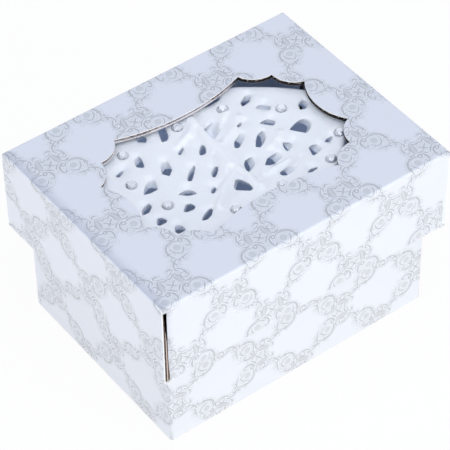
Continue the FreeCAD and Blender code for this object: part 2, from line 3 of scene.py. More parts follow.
import bmesh
import bpy
import numpy as np
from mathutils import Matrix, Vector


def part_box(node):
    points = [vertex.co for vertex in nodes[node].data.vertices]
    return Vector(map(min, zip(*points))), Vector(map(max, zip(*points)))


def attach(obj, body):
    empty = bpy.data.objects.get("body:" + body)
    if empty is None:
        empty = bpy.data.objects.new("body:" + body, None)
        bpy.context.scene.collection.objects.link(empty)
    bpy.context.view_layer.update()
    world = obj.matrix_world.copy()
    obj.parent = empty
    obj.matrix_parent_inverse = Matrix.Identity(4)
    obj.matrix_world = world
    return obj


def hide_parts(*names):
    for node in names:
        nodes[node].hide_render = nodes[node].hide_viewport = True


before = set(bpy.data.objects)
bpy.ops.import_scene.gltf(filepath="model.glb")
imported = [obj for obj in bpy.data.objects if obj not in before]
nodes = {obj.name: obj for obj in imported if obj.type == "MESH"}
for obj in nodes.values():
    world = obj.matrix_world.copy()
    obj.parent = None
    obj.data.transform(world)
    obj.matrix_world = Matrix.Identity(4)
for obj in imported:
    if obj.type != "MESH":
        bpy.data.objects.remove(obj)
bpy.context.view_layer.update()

import openvdb
from mathutils import Matrix, Vector

MM = 0.001

# Base walls: fine fluted board with a white lining on the inside. The rim is cut bare, so its
# brown flutes show. A glued flap at the hidden corner closes the four walls to a tube.
LINING_WHITE = (0.82, 0.85, 0.91, 1.0)
RAW_BROWN = (0.20, 0.115, 0.06, 1.0)
RAW_BROWN_PALE = (0.42, 0.28, 0.17, 1.0)
# Near black for painted shade on raw edges that stand in deep shadow.
PAINTED_SHADOW_DARK = (0.02, 0.014, 0.012, 1.0)
LINING_DEPTH = 0.12 * MM
LINING_SHADE = 0.93
FIBRE_SCALE = 2400.0
CLOUD_SCALE = 160.0
FLAP_PAINTED_SHADOW = 0.8
LINED_GRAIN = (0.25, 0.05 * MM)
RAW_GRAIN = (0.4, 0.06 * MM)


def new_material(name):
    material = bpy.data.materials.new(name)
    material.use_nodes = True
    return material, material.node_tree, material.node_tree.nodes["Principled BSDF"]


def new_group(name, inputs, outputs):
    group = bpy.data.node_groups.new(name, "ShaderNodeTree")
    for label, kind in inputs:
        group.interface.new_socket(label, in_out="INPUT", socket_type=f"NodeSocket{kind}")
    for label, kind in outputs:
        group.interface.new_socket(label, in_out="OUTPUT", socket_type=f"NodeSocket{kind}")
    return group, group.nodes.new("NodeGroupInput"), group.nodes.new("NodeGroupOutput")


def add_node(tree, kind, *values, **settings):
    made = tree.nodes.new(f"ShaderNode{kind}")
    for key, value in settings.items():
        setattr(made, key, value)
    for index, value in enumerate(values):
        if isinstance(value, bpy.types.NodeSocket):
            tree.links.new(value, made.inputs[index])
        elif value is not None:
            made.inputs[index].default_value = value
    return made


def reckon(tree, operation, *values):
    return add_node(tree, "Math", *values, operation=operation).outputs[0]


def blend_colours(tree, share, first, second):
    mix = add_node(tree, "Mix", data_type="RGBA")
    for socket, value in ((mix.inputs[0], share), (mix.inputs[6], first), (mix.inputs[7], second)):
        if isinstance(value, bpy.types.NodeSocket):
            tree.links.new(value, socket)
        else:
            socket.default_value = value
    return mix.outputs[2]


def paper_fibre_group():
    group, source, sink = new_group(
        "paper_fibre", [("Place", "Vector")], [("Tone", "Float"), ("Height", "Float")]
    )
    fine = add_node(group, "TexNoise", source.outputs[0], None, FIBRE_SCALE, 5.0, 0.62)
    cloud = add_node(group, "TexNoise", source.outputs[0], None, CLOUD_SCALE, 3.0, 0.5)
    clouded = reckon(group, "MULTIPLY", cloud.outputs[0], 0.55)
    tone = reckon(group, "MULTIPLY_ADD", fine.outputs[0], 0.45, clouded)
    group.links.new(tone, sink.inputs[0])
    group.links.new(fine.outputs[0], sink.inputs[1])
    return group


PAPER_FIBRE = paper_fibre_group()


def paper_fibre(tree, place):
    fibre = add_node(tree, "Group", node_tree=PAPER_FIBRE)
    tree.links.new(place, fibre.inputs[0])
    return fibre.outputs[0], fibre.outputs[1]


def on_the_piece(tree):
    place = add_node(tree, "TexCoord").outputs["Object"]
    return place, add_node(tree, "SeparateXYZ", place)


def bump(tree, shader, height, strength, distance):
    raised = add_node(tree, "Bump", strength, distance)
    tree.links.new(height, raised.inputs["Height"])
    tree.links.new(raised.outputs[0], shader.inputs["Normal"])


def raw_board_colour(tree, tone):
    spread = add_node(tree, "MapRange", tone, 0.35, 0.65, 0.0, 1.0)
    return blend_colours(tree, spread.outputs[0], RAW_BROWN, RAW_BROWN_PALE)


def dimmed(colour, share):
    return tuple(share * part for part in colour[:3]) + (1.0,)


def lined_face(tree, shader, tone, height, bare, cut):
    white = blend_colours(tree, tone, LINING_WHITE, dimmed(LINING_WHITE, LINING_SHADE))
    tree.links.new(blend_colours(tree, bare, white, cut), shader.inputs["Base Color"])
    shader.inputs["Roughness"].default_value = 0.85
    bump(tree, shader, height, *LINED_GRAIN)


def lined_board(name, axis, face, sign, painted_shadow=0.0):
    material, tree, shader = new_material(name)
    place, split = on_the_piece(tree)
    tone, height = paper_fibre(tree, place)
    reach = reckon(tree, "ABSOLUTE", split.outputs[axis])
    depth = reckon(tree, "MULTIPLY", reckon(tree, "SUBTRACT", reach, face), sign)
    bare = reckon(tree, "GREATER_THAN", depth, LINING_DEPTH)
    # A share of the raw edge colour can be painted near black as shade.
    raw = blend_colours(tree, painted_shadow, raw_board_colour(tree, tone), PAINTED_SHADOW_DARK)
    lined_face(tree, shader, tone, height, bare, raw)
    return material


def dress(name, material):
    mesh = nodes[name].data
    mesh.materials.clear()
    mesh.materials.append(material)


for side, axis in (("front", 1), ("back", 1), ("left", 0), ("right", 0)):
    low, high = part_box(f"base_{side}_wall")
    inner_face = min(abs(low[axis]), abs(high[axis]))
    dress(f"base_{side}_wall", lined_board(f"lined board {side}", axis, inner_face, 1.0))
low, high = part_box("base_glue_flap")
# The glue flap's raw edge is painted mostly near black: painted shade for the dark corner it stands in.
dress("base_glue_flap", lined_board("lined board flap", 0, low.x, 1.0, FLAP_PAINTED_SHADOW))

# Inner bottom flaps: the end walls folded in under the porcelain, white lining upwards and bare
# board at their cut edges. The outer flaps lie under them.
for side in ("left", "right"):
    low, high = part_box(f"base_{side}_bottom_flap")
    dress(f"base_{side}_bottom_flap", lined_board(f"lined bottom {side}", 2, high.z, -1.0))

# Printed sleeve: one sheet of satin white paper glued round the base walls, printed with a silver
# grey trellis of scrolls. On the base the print runs sideways. Its seam is at the hidden corner.
PAPER_WHITE = (0.805, 0.81, 0.832, 1.0)
PAPER_SHADE = (0.78, 0.787, 0.812, 1.0)
INK_GREY = (0.49, 0.495, 0.495, 1.0)
INK_PALE = (0.64, 0.645, 0.65, 1.0)
BARE_PAPER = (0.97, 0.965, 0.955, 1.0)
BARE_SHADE = 0.9
PRINT_GRAIN = (0.12, 0.02 * MM)
BARE_GRAIN = (0.3, 0.04 * MM)
SHEET = 0.35 * MM
FOLD_STEPS = 8
ROUNDED_UNDER = 0.6 * MM
SLEEVE_FOLD = 0.7 * MM
SLEEVE_FOOT = 0.1 * MM
SLEEVE_ROWS = 6
SLEEVE_PRINT = (-14.8, -18.5, 0.0)
# Painted shade: a grey band on the lid's top along its left fold, darkest at the fold.
FOLD_SHADE_BREADTH = 4.2 * MM
FOLD_SHADE_SHARE = 0.52
FOLD_SHADE_FALL = 1.8
FOLD_SHADE_COLOUR = (0.34, 0.36, 0.45, 1.0)
PRINT_PITCH = 29.6
HALF_PITCH = PRINT_PITCH / 2
MOTIF_OVERLAP = 0.6
INK_EDGE = 0.08
INK_SPREAD = 0.045
INK_COVER = (0.78, 1.0)
INK_GLOSS = (-0.12, 0.52)
WANDER = 0.8
ECHO_AWAY = 0.42
ECHO_BREADTH = 0.18
ECHO_GAPS = (0.46, 0.54)
ROSETTE = (5.4, 0.4)
ROSETTE_RADIUS = 1.15
CURL = (3.1, -1.35)
CURL_RADIUS = 0.55
CURL_BREADTH = 0.36

# Scrolls of half a motif in millimetres, across and down from its middle: where a stroke starts,
# a point half way along, where it ends, and how broad it is there.
SCROLLS = (
    ((5.2, -2.4), (8.15, -0.9), (8.0, 4.0), 0.56),
    ((3.3, -1.0), (5.2, -1.9), (7.3, -0.9), 0.34),
    ((7.5, -0.6), (7.0, 1.8), (4.9, 3.2), 0.38),
    ((3.7, 0.9), (4.4, 2.2), (6.1, 2.9), 0.30),
    ((3.8, 3.6), (5.9, 4.25), (8.7, 4.2), 0.42),
    ((7.7, 3.9), (9.5, 4.7), (10.9, 6.7), 0.48),
    ((10.6, 6.1), (10.9, 7.1), (10.0, 8.1), 0.40),
    ((8.7, 3.2), (9.45, 3.5), (9.3, 4.5), 0.38),
    ((6.1, 4.0), (6.4, 4.7), (6.2, 5.4), 0.38),
    ((7.0, 4.5), (7.75, 4.9), (8.2, 5.5), 0.38),
    ((9.2, 4.7), (9.4, 5.4), (9.1, 6.2), 0.38),
    ((8.3, 1.0), (9.0, 1.5), (9.7, 1.2), 0.48),
    ((3.1, -2.3), (1.35, -0.1), (2.2, 2.1), 0.54),
    ((1.6, 1.6), (2.3, 1.6), (2.6, 0.6), 0.36),
    ((2.8, -2.9), (1.45, -2.2), (0.35, -0.6), 0.48),
    ((1.5, -8.2), (2.4, -8.75), (3.05, -7.7), 0.44),
    ((3.1, -8.1), (1.8, -7.3), (-0.3, -6.4), 0.48),
    ((-0.2, -6.35), (0.8, -5.9), (1.9, -6.9), 0.42),
    ((2.5, -7.3), (3.7, -4.9), (3.6, -2.4), 0.40),
    ((2.1, -7.0), (2.15, -4.9), (2.8, -2.7), 0.34),
    ((1.7, -4.8), (0.7, -4.2), (-0.1, -3.1), 0.44),
    ((-0.1, -4.1), (0.5, -2.95), (1.4, -2.7), 0.40),
    ((6.1, -3.4), (5.0, -2.6), (3.7, -3.2), 0.46),
    ((3.8, -8.5), (5.7, -6.5), (6.1, -4.0), 0.38),
    ((6.3, -4.6), (5.2, -4.0), (4.2, -4.9), 0.34),
    ((4.3, -4.4), (4.6, -5.9), (5.6, -5.6), 0.32),
    ((5.3, -5.9), (5.75, -5.1), (5.0, -4.8), 0.30),
)
SHADED_LEAF = ((2.2, -7.4), (2.95, -4.9), (3.2, -2.3), 1.2)


def circle_through(first, second, third):
    a, b, c = (Vector(point) for point in (first, second, third))
    ab, ac = b - a, c - a
    turn = 2 * (ab.x * ac.y - ab.y * ac.x)
    offset = Vector((ac.y * ab.length_squared - ab.y * ac.length_squared,
                     ab.x * ac.length_squared - ac.x * ab.length_squared)) / turn
    return a + offset, offset.length


def disc_distance(tree, place, centre, radius):
    away = add_node(tree, "VectorMath", place, (centre[0], centre[1], 0.0), operation="DISTANCE")
    return reckon(tree, "SUBTRACT", away.outputs["Value"], radius)


def scroll_distance(tree, place, start, middle, end, breadth):
    chord_middle = (Vector(start) + Vector(end)) / 2
    bulge = Vector(middle) - chord_middle
    outward = bulge.normalized()
    outer_centre, outer_radius = circle_through(start, Vector(middle) + outward * breadth / 2, end)
    inner_centre, inner_radius = circle_through(start, Vector(middle) - outward * breadth / 2, end)
    inside_outer = disc_distance(tree, place, outer_centre, outer_radius)
    inside_inner = disc_distance(tree, place, inner_centre, inner_radius)
    if bulge.length > breadth / 2:
        inside_inner = reckon(tree, "MULTIPLY", inside_inner, -1.0)
    return reckon(tree, "MAXIMUM", inside_outer, inside_inner)


def repeats_in_cell(points):
    shifts = (
        points,
        tuple((HALF_PITCH - x, y - HALF_PITCH) for x, y in points),
        tuple((HALF_PITCH - x, y + HALF_PITCH) for x, y in points),
    )
    limit = HALF_PITCH + MOTIF_OVERLAP
    return [moved for moved in shifts if any(abs(x) + abs(y) < limit for x, y in moved)]


def damask_group():
    inks = [("Line", "Float"), ("Shade", "Float"), ("Echo", "Float")]
    group, source, sink = new_group("damask_trellis", [("Sheet", "Vector")], inks)
    sheet = source.outputs[0]
    wander = add_node(group, "TexNoise", sheet, None, 1.0, 4.0, 0.68)
    wander = add_node(group, "VectorMath", wander.outputs[1], (0.5, 0.5, 0.5), operation="SUBTRACT")
    stray = (WANDER, WANDER, WANDER)
    drawn = add_node(group, "VectorMath", wander.outputs[0], stray, sheet, operation="MULTIPLY_ADD")
    split = add_node(group, "SeparateXYZ", drawn.outputs[0])
    rising = reckon(group, "ADD", split.outputs[0], split.outputs[1])
    falling = reckon(group, "SUBTRACT", split.outputs[0], split.outputs[1])
    rising = reckon(group, "WRAP", rising, HALF_PITCH, -HALF_PITCH)
    falling = reckon(group, "WRAP", falling, HALF_PITCH, -HALF_PITCH)
    across = reckon(group, "MULTIPLY", reckon(group, "ADD", rising, falling), 0.5)
    across = reckon(group, "ABSOLUTE", across)
    down = reckon(group, "MULTIPLY", reckon(group, "SUBTRACT", rising, falling), 0.5)
    place = add_node(group, "CombineXYZ", across, down, 0.0).outputs[0]
    curl = reckon(group, "ABSOLUTE", disc_distance(group, place, CURL, CURL_RADIUS))
    line = reckon(group, "SUBTRACT", curl, CURL_BREADTH / 2)
    for start, middle, end, breadth in SCROLLS:
        for moved in repeats_in_cell((start, middle, end)):
            line = reckon(group, "MINIMUM", line, scroll_distance(group, place, *moved, breadth))
    shade = disc_distance(group, place, ROSETTE, ROSETTE_RADIUS)
    shade = reckon(group, "MINIMUM", shade, scroll_distance(group, place, *SHADED_LEAF))
    first = reckon(group, "ABSOLUTE", reckon(group, "SUBTRACT", line, ECHO_AWAY))
    second = reckon(group, "ABSOLUTE", reckon(group, "SUBTRACT", line, 2 * ECHO_AWAY))
    broken = add_node(group, "TexNoise", sheet, None, 0.8, 1.0, 0.5).outputs[0]
    broken = add_node(group, "MapRange", broken, *ECHO_GAPS, 0.3, 0.05).outputs[0]
    second = reckon(group, "ADD", second, broken)
    echo = reckon(group, "SUBTRACT", reckon(group, "MINIMUM", first, second), ECHO_BREADTH / 2)
    line = reckon(group, "SUBTRACT", line, INK_SPREAD)
    for index, value in enumerate((line, shade, echo)):
        soft = add_node(group, "MapRange", value, -INK_EDGE, INK_EDGE, 1.0, 0.0)
        soft.interpolation_type = "SMOOTHSTEP"
        group.links.new(soft.outputs[0], sink.inputs[index])
    return group


DAMASK = damask_group()


def printed_paper(name, sheet_of, place_on_pitch, fold_shade_from=None):
    material, tree, shader = new_material(name)
    place = add_node(tree, "TexCoord").outputs["Object"]
    tone, height = paper_fibre(tree, place)
    scale = (1 / MM, -1 / MM, 0.0)
    motif = add_node(tree, "VectorMath", sheet_of(tree), scale, place_on_pitch, operation="MULTIPLY_ADD")
    damask = add_node(tree, "Group", node_tree=DAMASK)
    tree.links.new(motif.outputs[0], damask.inputs[0])
    cover = add_node(tree, "MapRange", tone, 0.3, 0.7, *INK_COVER).outputs[0]
    line = reckon(tree, "MULTIPLY", damask.outputs[0], cover)
    ground = blend_colours(tree, tone, PAPER_WHITE, PAPER_SHADE)
    shaded = blend_colours(tree, damask.outputs[1], ground, INK_PALE)
    shaded = blend_colours(tree, damask.outputs[2], shaded, INK_PALE)
    printed = blend_colours(tree, line, shaded, INK_GREY)
    # Painted shade along the left fold of the lid: grey that fades out away from the fold.
    if fold_shade_from is not None:
        run = add_node(tree, "SeparateXYZ", sheet_of(tree)).outputs[0]
        fold_shade_end = fold_shade_from + FOLD_SHADE_BREADTH
        near = add_node(tree, "MapRange", run, fold_shade_from, fold_shade_end, 1.0, 0.0).outputs[0]
        near = reckon(tree, "POWER", near, FOLD_SHADE_FALL)
        painted_fold_shade = reckon(tree, "MULTIPLY", near, reckon(tree, "GREATER_THAN", run, fold_shade_from))
        painted_fold_shade = reckon(tree, "MULTIPLY", painted_fold_shade, FOLD_SHADE_SHARE)
        printed = blend_colours(tree, painted_fold_shade, printed, FOLD_SHADE_COLOUR)
    tree.links.new(printed, shader.inputs["Base Color"])
    gloss = reckon(tree, "MULTIPLY_ADD", line, *INK_GLOSS)
    tree.links.new(gloss, shader.inputs["Roughness"])
    bump(tree, shader, height, *PRINT_GRAIN)
    return material


def bare_paper():
    material, tree, shader = new_material("bare paper edge")
    place = add_node(tree, "TexCoord").outputs["Object"]
    tone, height = paper_fibre(tree, place)
    fibrous = blend_colours(tree, tone, BARE_PAPER, dimmed(BARE_PAPER, BARE_SHADE))
    tree.links.new(fibrous, shader.inputs["Base Color"])
    shader.inputs["Roughness"].default_value = 0.9
    bump(tree, shader, height, *BARE_GRAIN)
    return material


def sheet_map(tree):
    return add_node(tree, "UVMap", uv_map="sheet").outputs[0]


BARE = bare_paper()


def sheet_piece(name, mesh_builder, sheet_places, materials, body, node):
    mesh = bpy.data.meshes.new(name)
    layer = mesh_builder.loops.layers.uv.new("sheet")
    for face in mesh_builder.faces:
        face.smooth = min(edge.calc_length() for edge in face.edges) < ROUNDED_UNDER
        for loop in face.loops:
            loop[layer].uv = sheet_places[loop.vert]
    mesh_builder.to_mesh(mesh)
    mesh_builder.free()
    for material in materials:
        mesh.materials.append(material)
    piece = bpy.data.objects.new(name, mesh)
    bpy.context.scene.collection.objects.link(piece)
    thickness = piece.modifiers.new("paper", "SOLIDIFY")
    thickness.thickness = SHEET
    thickness.offset = -1.0
    thickness.material_offset = 1
    thickness.material_offset_rim = 1
    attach(piece, body)
    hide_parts(node)


def sleeve_path(half_length, half_width):
    flat_x, flat_y = half_length - SLEEVE_FOLD, half_width - SLEEVE_FOLD
    corners = (
        (-flat_x, flat_y, 90), (-flat_x, -flat_y, 180), (flat_x, -flat_y, 270), (flat_x, flat_y, 0)
    )
    points = [Vector((flat_x, half_width))]
    for x, y, start in corners:
        for step in range(FOLD_STEPS + 1):
            angle = math.radians(start + 90 * step / FOLD_STEPS)
            points.append(Vector((x, y)) + SLEEVE_FOLD * Vector((math.cos(angle), math.sin(angle))))
    return points


low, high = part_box("base_printed_sleeve")
sleeve = bmesh.new()
sleeve_places = {}
path = sleeve_path(high.x, high.y)
arc = np.concatenate([[0.0], np.cumsum([(b - a).length for a, b in zip(path, path[1:])])])
front_middle = arc[2 * (FOLD_STEPS + 1)] + (high.x - SLEEVE_FOLD)
columns = []
for point, along in zip(path, arc):
    column = []
    for height in np.linspace(SLEEVE_FOOT, high.z, SLEEVE_ROWS + 1):
        vertex = sleeve.verts.new((point.x, point.y, height))
        sleeve_places[vertex] = (height, along - front_middle)
        column.append(vertex)
    columns.append(column)
for left, right in zip(columns, columns[1:]):
    for index in range(SLEEVE_ROWS):
        sleeve.faces.new((left[index], right[index], right[index + 1], left[index + 1]))
sleeve_paper = printed_paper("printed paper sleeve", sheet_map, SLEEVE_PRINT)
sheet_piece(
    "base_printed_sheet", sleeve, sleeve_places, (sleeve_paper, BARE), "base", "base_printed_sleeve"
)


# Outer bottom flaps: the long walls folded in under the base, printed side down. They meet in the
# middle of the underside and carry the box.
def flat_map(across, down):
    def laid_flat(tree):
        _, split = on_the_piece(tree)
        return add_node(tree, "CombineXYZ", split.outputs[across], split.outputs[down], 0.0).outputs[0]

    return laid_flat


flap_paper = printed_paper("printed paper underside", flat_map(1, 0), SLEEVE_PRINT)
for side in ("front", "back"):
    dress(f"base_{side}_bottom_flap", flap_paper)

# Porcelain dome: slip-cast, glazed white, hollow and open underneath. Its crown is modelled as
# branches that sweep from a trunk, with leaf-shaped piercings between them and dished stone seats.
dome_low, dome_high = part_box("pierced_dome")
DOME_MIDDLE = (dome_low.x + dome_high.x) / 2 / MM
DOME_END = (dome_high.x - dome_low.x) / 2 / MM
DOME_SIDE = dome_high.y / MM
DOME_TOP = dome_high.z / MM
DOME_FOOT = dome_low.z / MM
VOXEL = 0.28
GRID_MARGIN = 1.0
GRID_HEADROOM = 1.2
FAR_OUTSIDE = 3.0
CAP_DEPTH = 9.0
CAP_TRIM = 1.0
CROWN_FALL = 0.25
SEEN_LEVEL = 0.6
SHOULDER = 1.44
CORNER_REACH = 33.6
LEFT_CORNER_REACH = 36.0
CORNER_FACING = (0.643, 0.765)
CORNER_ROUND = 4.0
SHELL = 3.0
LIP = 0.3
SCOOP_DEPTH = 2.1
DIMPLE_DEPTH = 1.8
SCOOP_STEPS = 8
SCOOP_SMOOTHING = 0.6
SCOOP_STRETCH = 1.6
SCOOP_TAPER = 0.35
SCOOP_CURVE = 1.1
SCOOP_ROOM = 11.0
LINE_OF_CUT = (0.585, 0.80)
RELIEF = 0.25
RIDGE_HEIGHT = 0.8
RIDGE_BREADTH = 1.5
CREASE_DEPTH = 0.5
CREASE_BREADTH = 0.9
FUNNEL_DEPTH = 0.6
FUNNEL_BREADTH = 1.8
FUNNEL_RUN = (0.5, 1.6)
SEAT_RADIUS = 1.75
SEAT_DEPTH = 0.4
SEAT_RIM = 0.12
SEAT_RIM_RADIUS = 2.2
SEAT_RIM_SLOPE = 1.0
GLAZE_WHITE = (0.93, 0.932, 0.915, 1.0)
GLAZE_CREAM = (0.95, 0.95, 0.93, 1.0)
# Blue grey for glaze pooled in the hollows, also painted there as the shade of the hollows and the
# dome's inside.
GLAZE_POOLED_AND_SHADED = (0.74, 0.77, 0.83, 1.0)
GLAZE_CLOUD_SCALE = 70.0
GLAZE_SPECK_SCALE = 900.0
GLAZE_SHEEN = (0.10, 0.14)
GLAZE_RIPPLE = (0.15, 0.25 * MM)
NO_LIGHT = (0.0, 0.0, 0.0, 1.0)
# Painted glow: a faint emission that lightens the deepest parts and the dome's inside.
PAINTED_GLOW = (0.042, 0.054, 0.082, 1.0)

# Openings: corners of each piercing in millimetres, left to right along its near lip and back, and
# how far its scoop runs out from there along the length and across the width.
OPENINGS = (
    (((-29.1, 13.6), (-28.6, 12.9), (-27.9, 13.3), (-28.3, 13.6)), (1.6, 0.6)),
    (((-22.1, 13.2), (-20.7, 11.8), (-20.3, 12.1), (-19.5, 14.3)), (0.4, 1.8)),
    (((-15.6, 21.4), (-14.0, 19.9), (-13.0, 21.2), (-14.0, 22.0)), (0.0, 1.5)),
    (((-10.0, 17.2), (-8.8, 16.9), (-7.7, 17.9), (-6.0, 22.3), (-7.9, 22.3)), (0.3, 0.6)),
    (((-9.6, 10.0), (-9.2, 9.7), (-8.2, 10.3), (-9.0, 10.3)), (1.3, 1.0)),
    (((-18.0, 6.4), (-16.8, 4.5), (-14.8, 6.0), (-15.3, 7.0), (-16.4, 7.2)), (0.9, 2.2)),
    (((-4.6, 6.0), (-4.2, 5.7), (-3.0, 5.8), (-1.9, 7.6), (-2.4, 7.9)), (0.3, 0.9)),
    (((-27.1, 2.7), (-25.2, 2.1), (-22.6, 2.1), (-23.8, 3.4), (-25.0, 3.6)), (1.4, 1.9)),
    (((-14.0, -0.2), (-13.1, -1.0), (-9.6, 2.3), (-12.4, 0.6)), (1.4, 1.6)),
    (((-7.2, -3.5), (-6.8, -3.8), (-5.6, -3.1), (-4.3, -1.7), (-5.8, -2.6)), (0.3, 1.2)),
    (((-31.9, -3.8), (-30.0, -3.9), (-28.3, -2.6), (-29.0, -2.4), (-30.8, -3.0)), (0.3, 1.0)),
    (((-19.0, -3.6), (-17.2, -5.2), (-15.2, -6.0), (-16.6, -4.9)), (0.6, 1.0)),
    (((-11.3, -8.5), (-10.9, -8.8), (-9.7, -8.0), (-10.0, -7.9)), (0.3, 0.7)),
    (((-30.8, -9.6), (-30.4, -9.9), (-28.5, -10.0), (-28.1, -9.7), (-28.8, -8.5), (-29.6, -8.3)),
     (0.0, 0.6)),
    (((-21.8, -9.9), (-21.2, -10.2), (-19.2, -10.5), (-18.5, -10.0), (-19.0, -8.9), (-20.0, -8.6)),
     (0.1, 0.5)),
    (((-28.6, -14.6), (-28.4, -15.7), (-26.0, -15.9), (-27.6, -14.7)), (0.6, 1.3)),
    (((-19.7, -15.7), (-18.6, -16.0), (-16.8, -15.4), (-15.5, -14.1), (-16.2, -14.0), (-18.2, -14.8)),
     (0.1, 0.5)),
    (((-5.2, -11.6), (-2.1, -14.3), (-1.2, -14.2), (-1.1, -12.8), (-2.2, -10.0), (-3.1, -9.5)),
     (0.2, 0.9)),
    (((5.0, 2.5), (5.4, 1.8), (6.3, 1.9), (7.0, 3.2), (6.9, 4.4), (6.2, 4.2)), (2.4, 1.4)),
    (((10.0, -1.0), (10.9, -1.9), (11.9, -1.0), (13.6, 1.6), (13.2, 2.4), (11.6, 0.9)), (1.9, 0.9)),
    (((10.8, 9.0), (11.1, 8.6), (11.4, 8.9), (11.3, 9.4)), (1.4, 0.5)),
    (((16.9, 6.1), (19.6, 3.2), (19.9, 3.3), (18.3, 5.3)), (1.2, 0.7)),
    (((17.4, 15.1), (20.2, 15.5), (19.2, 16.3), (18.2, 16.7), (17.8, 16.4)), (1.8, 1.2)),
    (((30.0, 3.7), (31.4, 3.1), (31.7, 4.9), (31.3, 5.8), (30.7, 5.4)), (1.4, 0.6)),
    (((22.2, -1.3), (25.1, -5.2), (26.6, -3.5), (27.0, -2.1), (26.5, -0.9), (25.2, -0.3)), (1.6, 0.4)),
    (((2.0, -7.0), (2.1, -8.0), (3.3, -6.7), (4.3, -4.2), (4.0, -3.8), (2.9, -4.8)), (1.7, 0.4)),
    (((7.5, -8.6), (8.6, -9.5), (10.1, -9.8), (10.4, -8.3), (10.4, -7.0), (9.4, -7.1)), (2.4, 0.4)),
    (((16.0, -7.4), (16.4, -8.0), (16.8, -6.2), (17.1, -4.3), (16.5, -5.5)), (2.0, 0.2)),
    (((20.8, -13.8), (21.9, -13.8), (22.1, -12.0), (22.2, -10.6), (21.8, -10.8)), (1.9, 0.3)),
    (((27.1, -11.5), (28.0, -12.4), (28.2, -11.8), (28.0, -11.1)), (1.5, 0.3)),
    (((8.6, -14.0), (8.8, -14.9), (9.9, -15.7), (10.3, -14.8), (10.2, -13.9), (9.2, -13.7)), (2.2, 0.3)),
    (((15.8, -18.7), (16.6, -18.9), (17.8, -18.8), (16.6, -18.5)), (0.2, 0.4)),
    (((8.3, 22.0), (8.8, 21.4), (13.6, 21.6), (14.2, 22.4), (12.0, 22.9), (8.6, 22.7)), (0.2, 0.4)),
)
# Dimples: scoops of the same kind that stop short of piercing the wall.
DIMPLES = (
    (((2.4, 14.5), (2.4, 9.1), (3.3, 9.3), (3.4, 12.5)), (2.6, 1.4)),
    (((20.0, 12.0), (22.7, 9.1), (22.9, 9.3), (20.4, 12.0)), (1.0, 0.7)),
)
# Branches: ridges of the modelled relief in millimetres, from the trunk outwards.
BRANCHES = (
    ((-13.0, -13.5), (-8.0, -9.6), (-3.6, -5.8), (-0.6, -1.5), (1.2, 3.0), (0.6, 8.0), (2.0, 18.0)),
    ((-0.6, -1.5), (0.4, -6.0), (1.0, -10.5), (1.4, -15.0)),
    ((-7.0, 12.4), (-3.6, 14.0), (0.6, 16.2), (1.6, 19.5)),
    ((4.6, 8.8), (7.0, 12.0), (10.5, 14.4), (12.6, 16.0)),
    ((2.4, 6.0), (5.0, 6.6), (8.4, 8.2), (13.5, 11.5)),
    ((5.5, -10.4), (9.0, -11.6), (14.0, -11.8)),
    ((13.6, -4.0), (16.4, -3.0), (19.0, -1.0)),
)
# Creases: lines where one lobe of the relief meets the next, pressed in with a tool.
CREASES = (
    ((3.3, 6.8), (5.0, 9.4), (6.5, 10.6), (9.0, 12.0), (11.5, 13.3), (13.6, 15.8)),
    ((-2.2, 8.2), (-1.2, 10.0), (-0.1, 12.8), (0.5, 15.0)),
    ((-7.6, 11.0), (-6.2, 12.2), (-3.6, 13.0)),
    ((-4.2, -1.4), (-3.0, 0.8), (-1.5, 3.5)),
    ((-9.6, -7.6), (-6.0, -6.7), (-4.0, -5.6), (-1.6, -4.2)),
    ((-0.5, -4.4), (-0.9, -6.6), (-0.4, -9.2)),
    ((-5.4, -12.0), (-8.2, -13.2), (-11.2, -15.2)),
    ((-15.0, -13.8), (-12.0, -11.4), (-10.0, -10.4)),
    ((2.0, -13.0), (3.0, -11.0), (5.2, -9.4)),
    ((6.0, -10.9), (9.0, -10.4), (13.2, -10.2)),
    ((12.0, -14.5), (14.0, -13.8), (17.4, -12.6)),
    ((12.6, -5.2), (14.6, -4.6), (16.0, -3.8)),
    ((3.4, 15.6), (3.7, 17.8), (4.2, 20.0)),
)
# Stone seats: shares of the dome's half length and half width, from the middle of the box.
STONES = (
    (-0.54, 0.64), (-0.08, 0.64), (0.28, 0.58), (-0.66, 0.26), (0.61, 0.24),
    (-0.58, -0.17), (0.78, -0.37), (0.57, -0.61), (-0.239, -0.603), (0.155, -0.607),
)
stone_places = [(along * DOME_END, across * DOME_SIDE) for along, across in STONES]


def smooth_max(first, second, reach):
    overlap = np.maximum(reach - np.abs(first - second), 0.0) / reach
    return np.maximum(first, second) + overlap * overlap * reach / 4


def outline_distance(x, y, corners):
    sides = []
    for (x0, y0), (x1, y1) in zip(corners, corners[1:] + corners[:1]):
        length = math.hypot(x1 - x0, y1 - y0)
        sides.append(((x - x0) * (y1 - y0) - (y - y0) * (x1 - x0)) / length)
    return np.max(sides, axis=0)


def line_distance(x, y, start, end):
    dx, dy = end[0] - start[0], end[1] - start[1]
    share = np.clip(((x - start[0]) * dx + (y - start[1]) * dy) / (dx * dx + dy * dy), 0, 1)
    return np.hypot(x - start[0] - share * dx, y - start[1] - share * dy)


def dome_plan(x, y, inset):
    x = x - DOME_MIDDLE
    end, side = DOME_END - inset, DOME_SIDE - inset
    oval = np.hypot(x / end, y / side)
    spread = np.hypot(x / end**2, y / side**2)
    edge = oval * (oval - 1) / np.maximum(spread, 1e-6)
    corner_reach = np.where(x < 0, LEFT_CORNER_REACH, CORNER_REACH) - inset
    corner = np.abs(x) * CORNER_FACING[0] + np.abs(y) * CORNER_FACING[1] - corner_reach
    return smooth_max(edge, corner, CORNER_ROUND)


def rounded_line(points):
    for _ in range(2):
        points = [points[0]] + [
            (a[0] + (b[0] - a[0]) * share, a[1] + (b[1] - a[1]) * share)
            for a, b in zip(points, points[1:])
            for share in (0.25, 0.75)
        ] + [points[-1]]
    return points


def stroke_distance(x, y, points):
    line = rounded_line(points)
    return np.min([line_distance(x, y, a, b) for a, b in zip(line, line[1:])], axis=0)


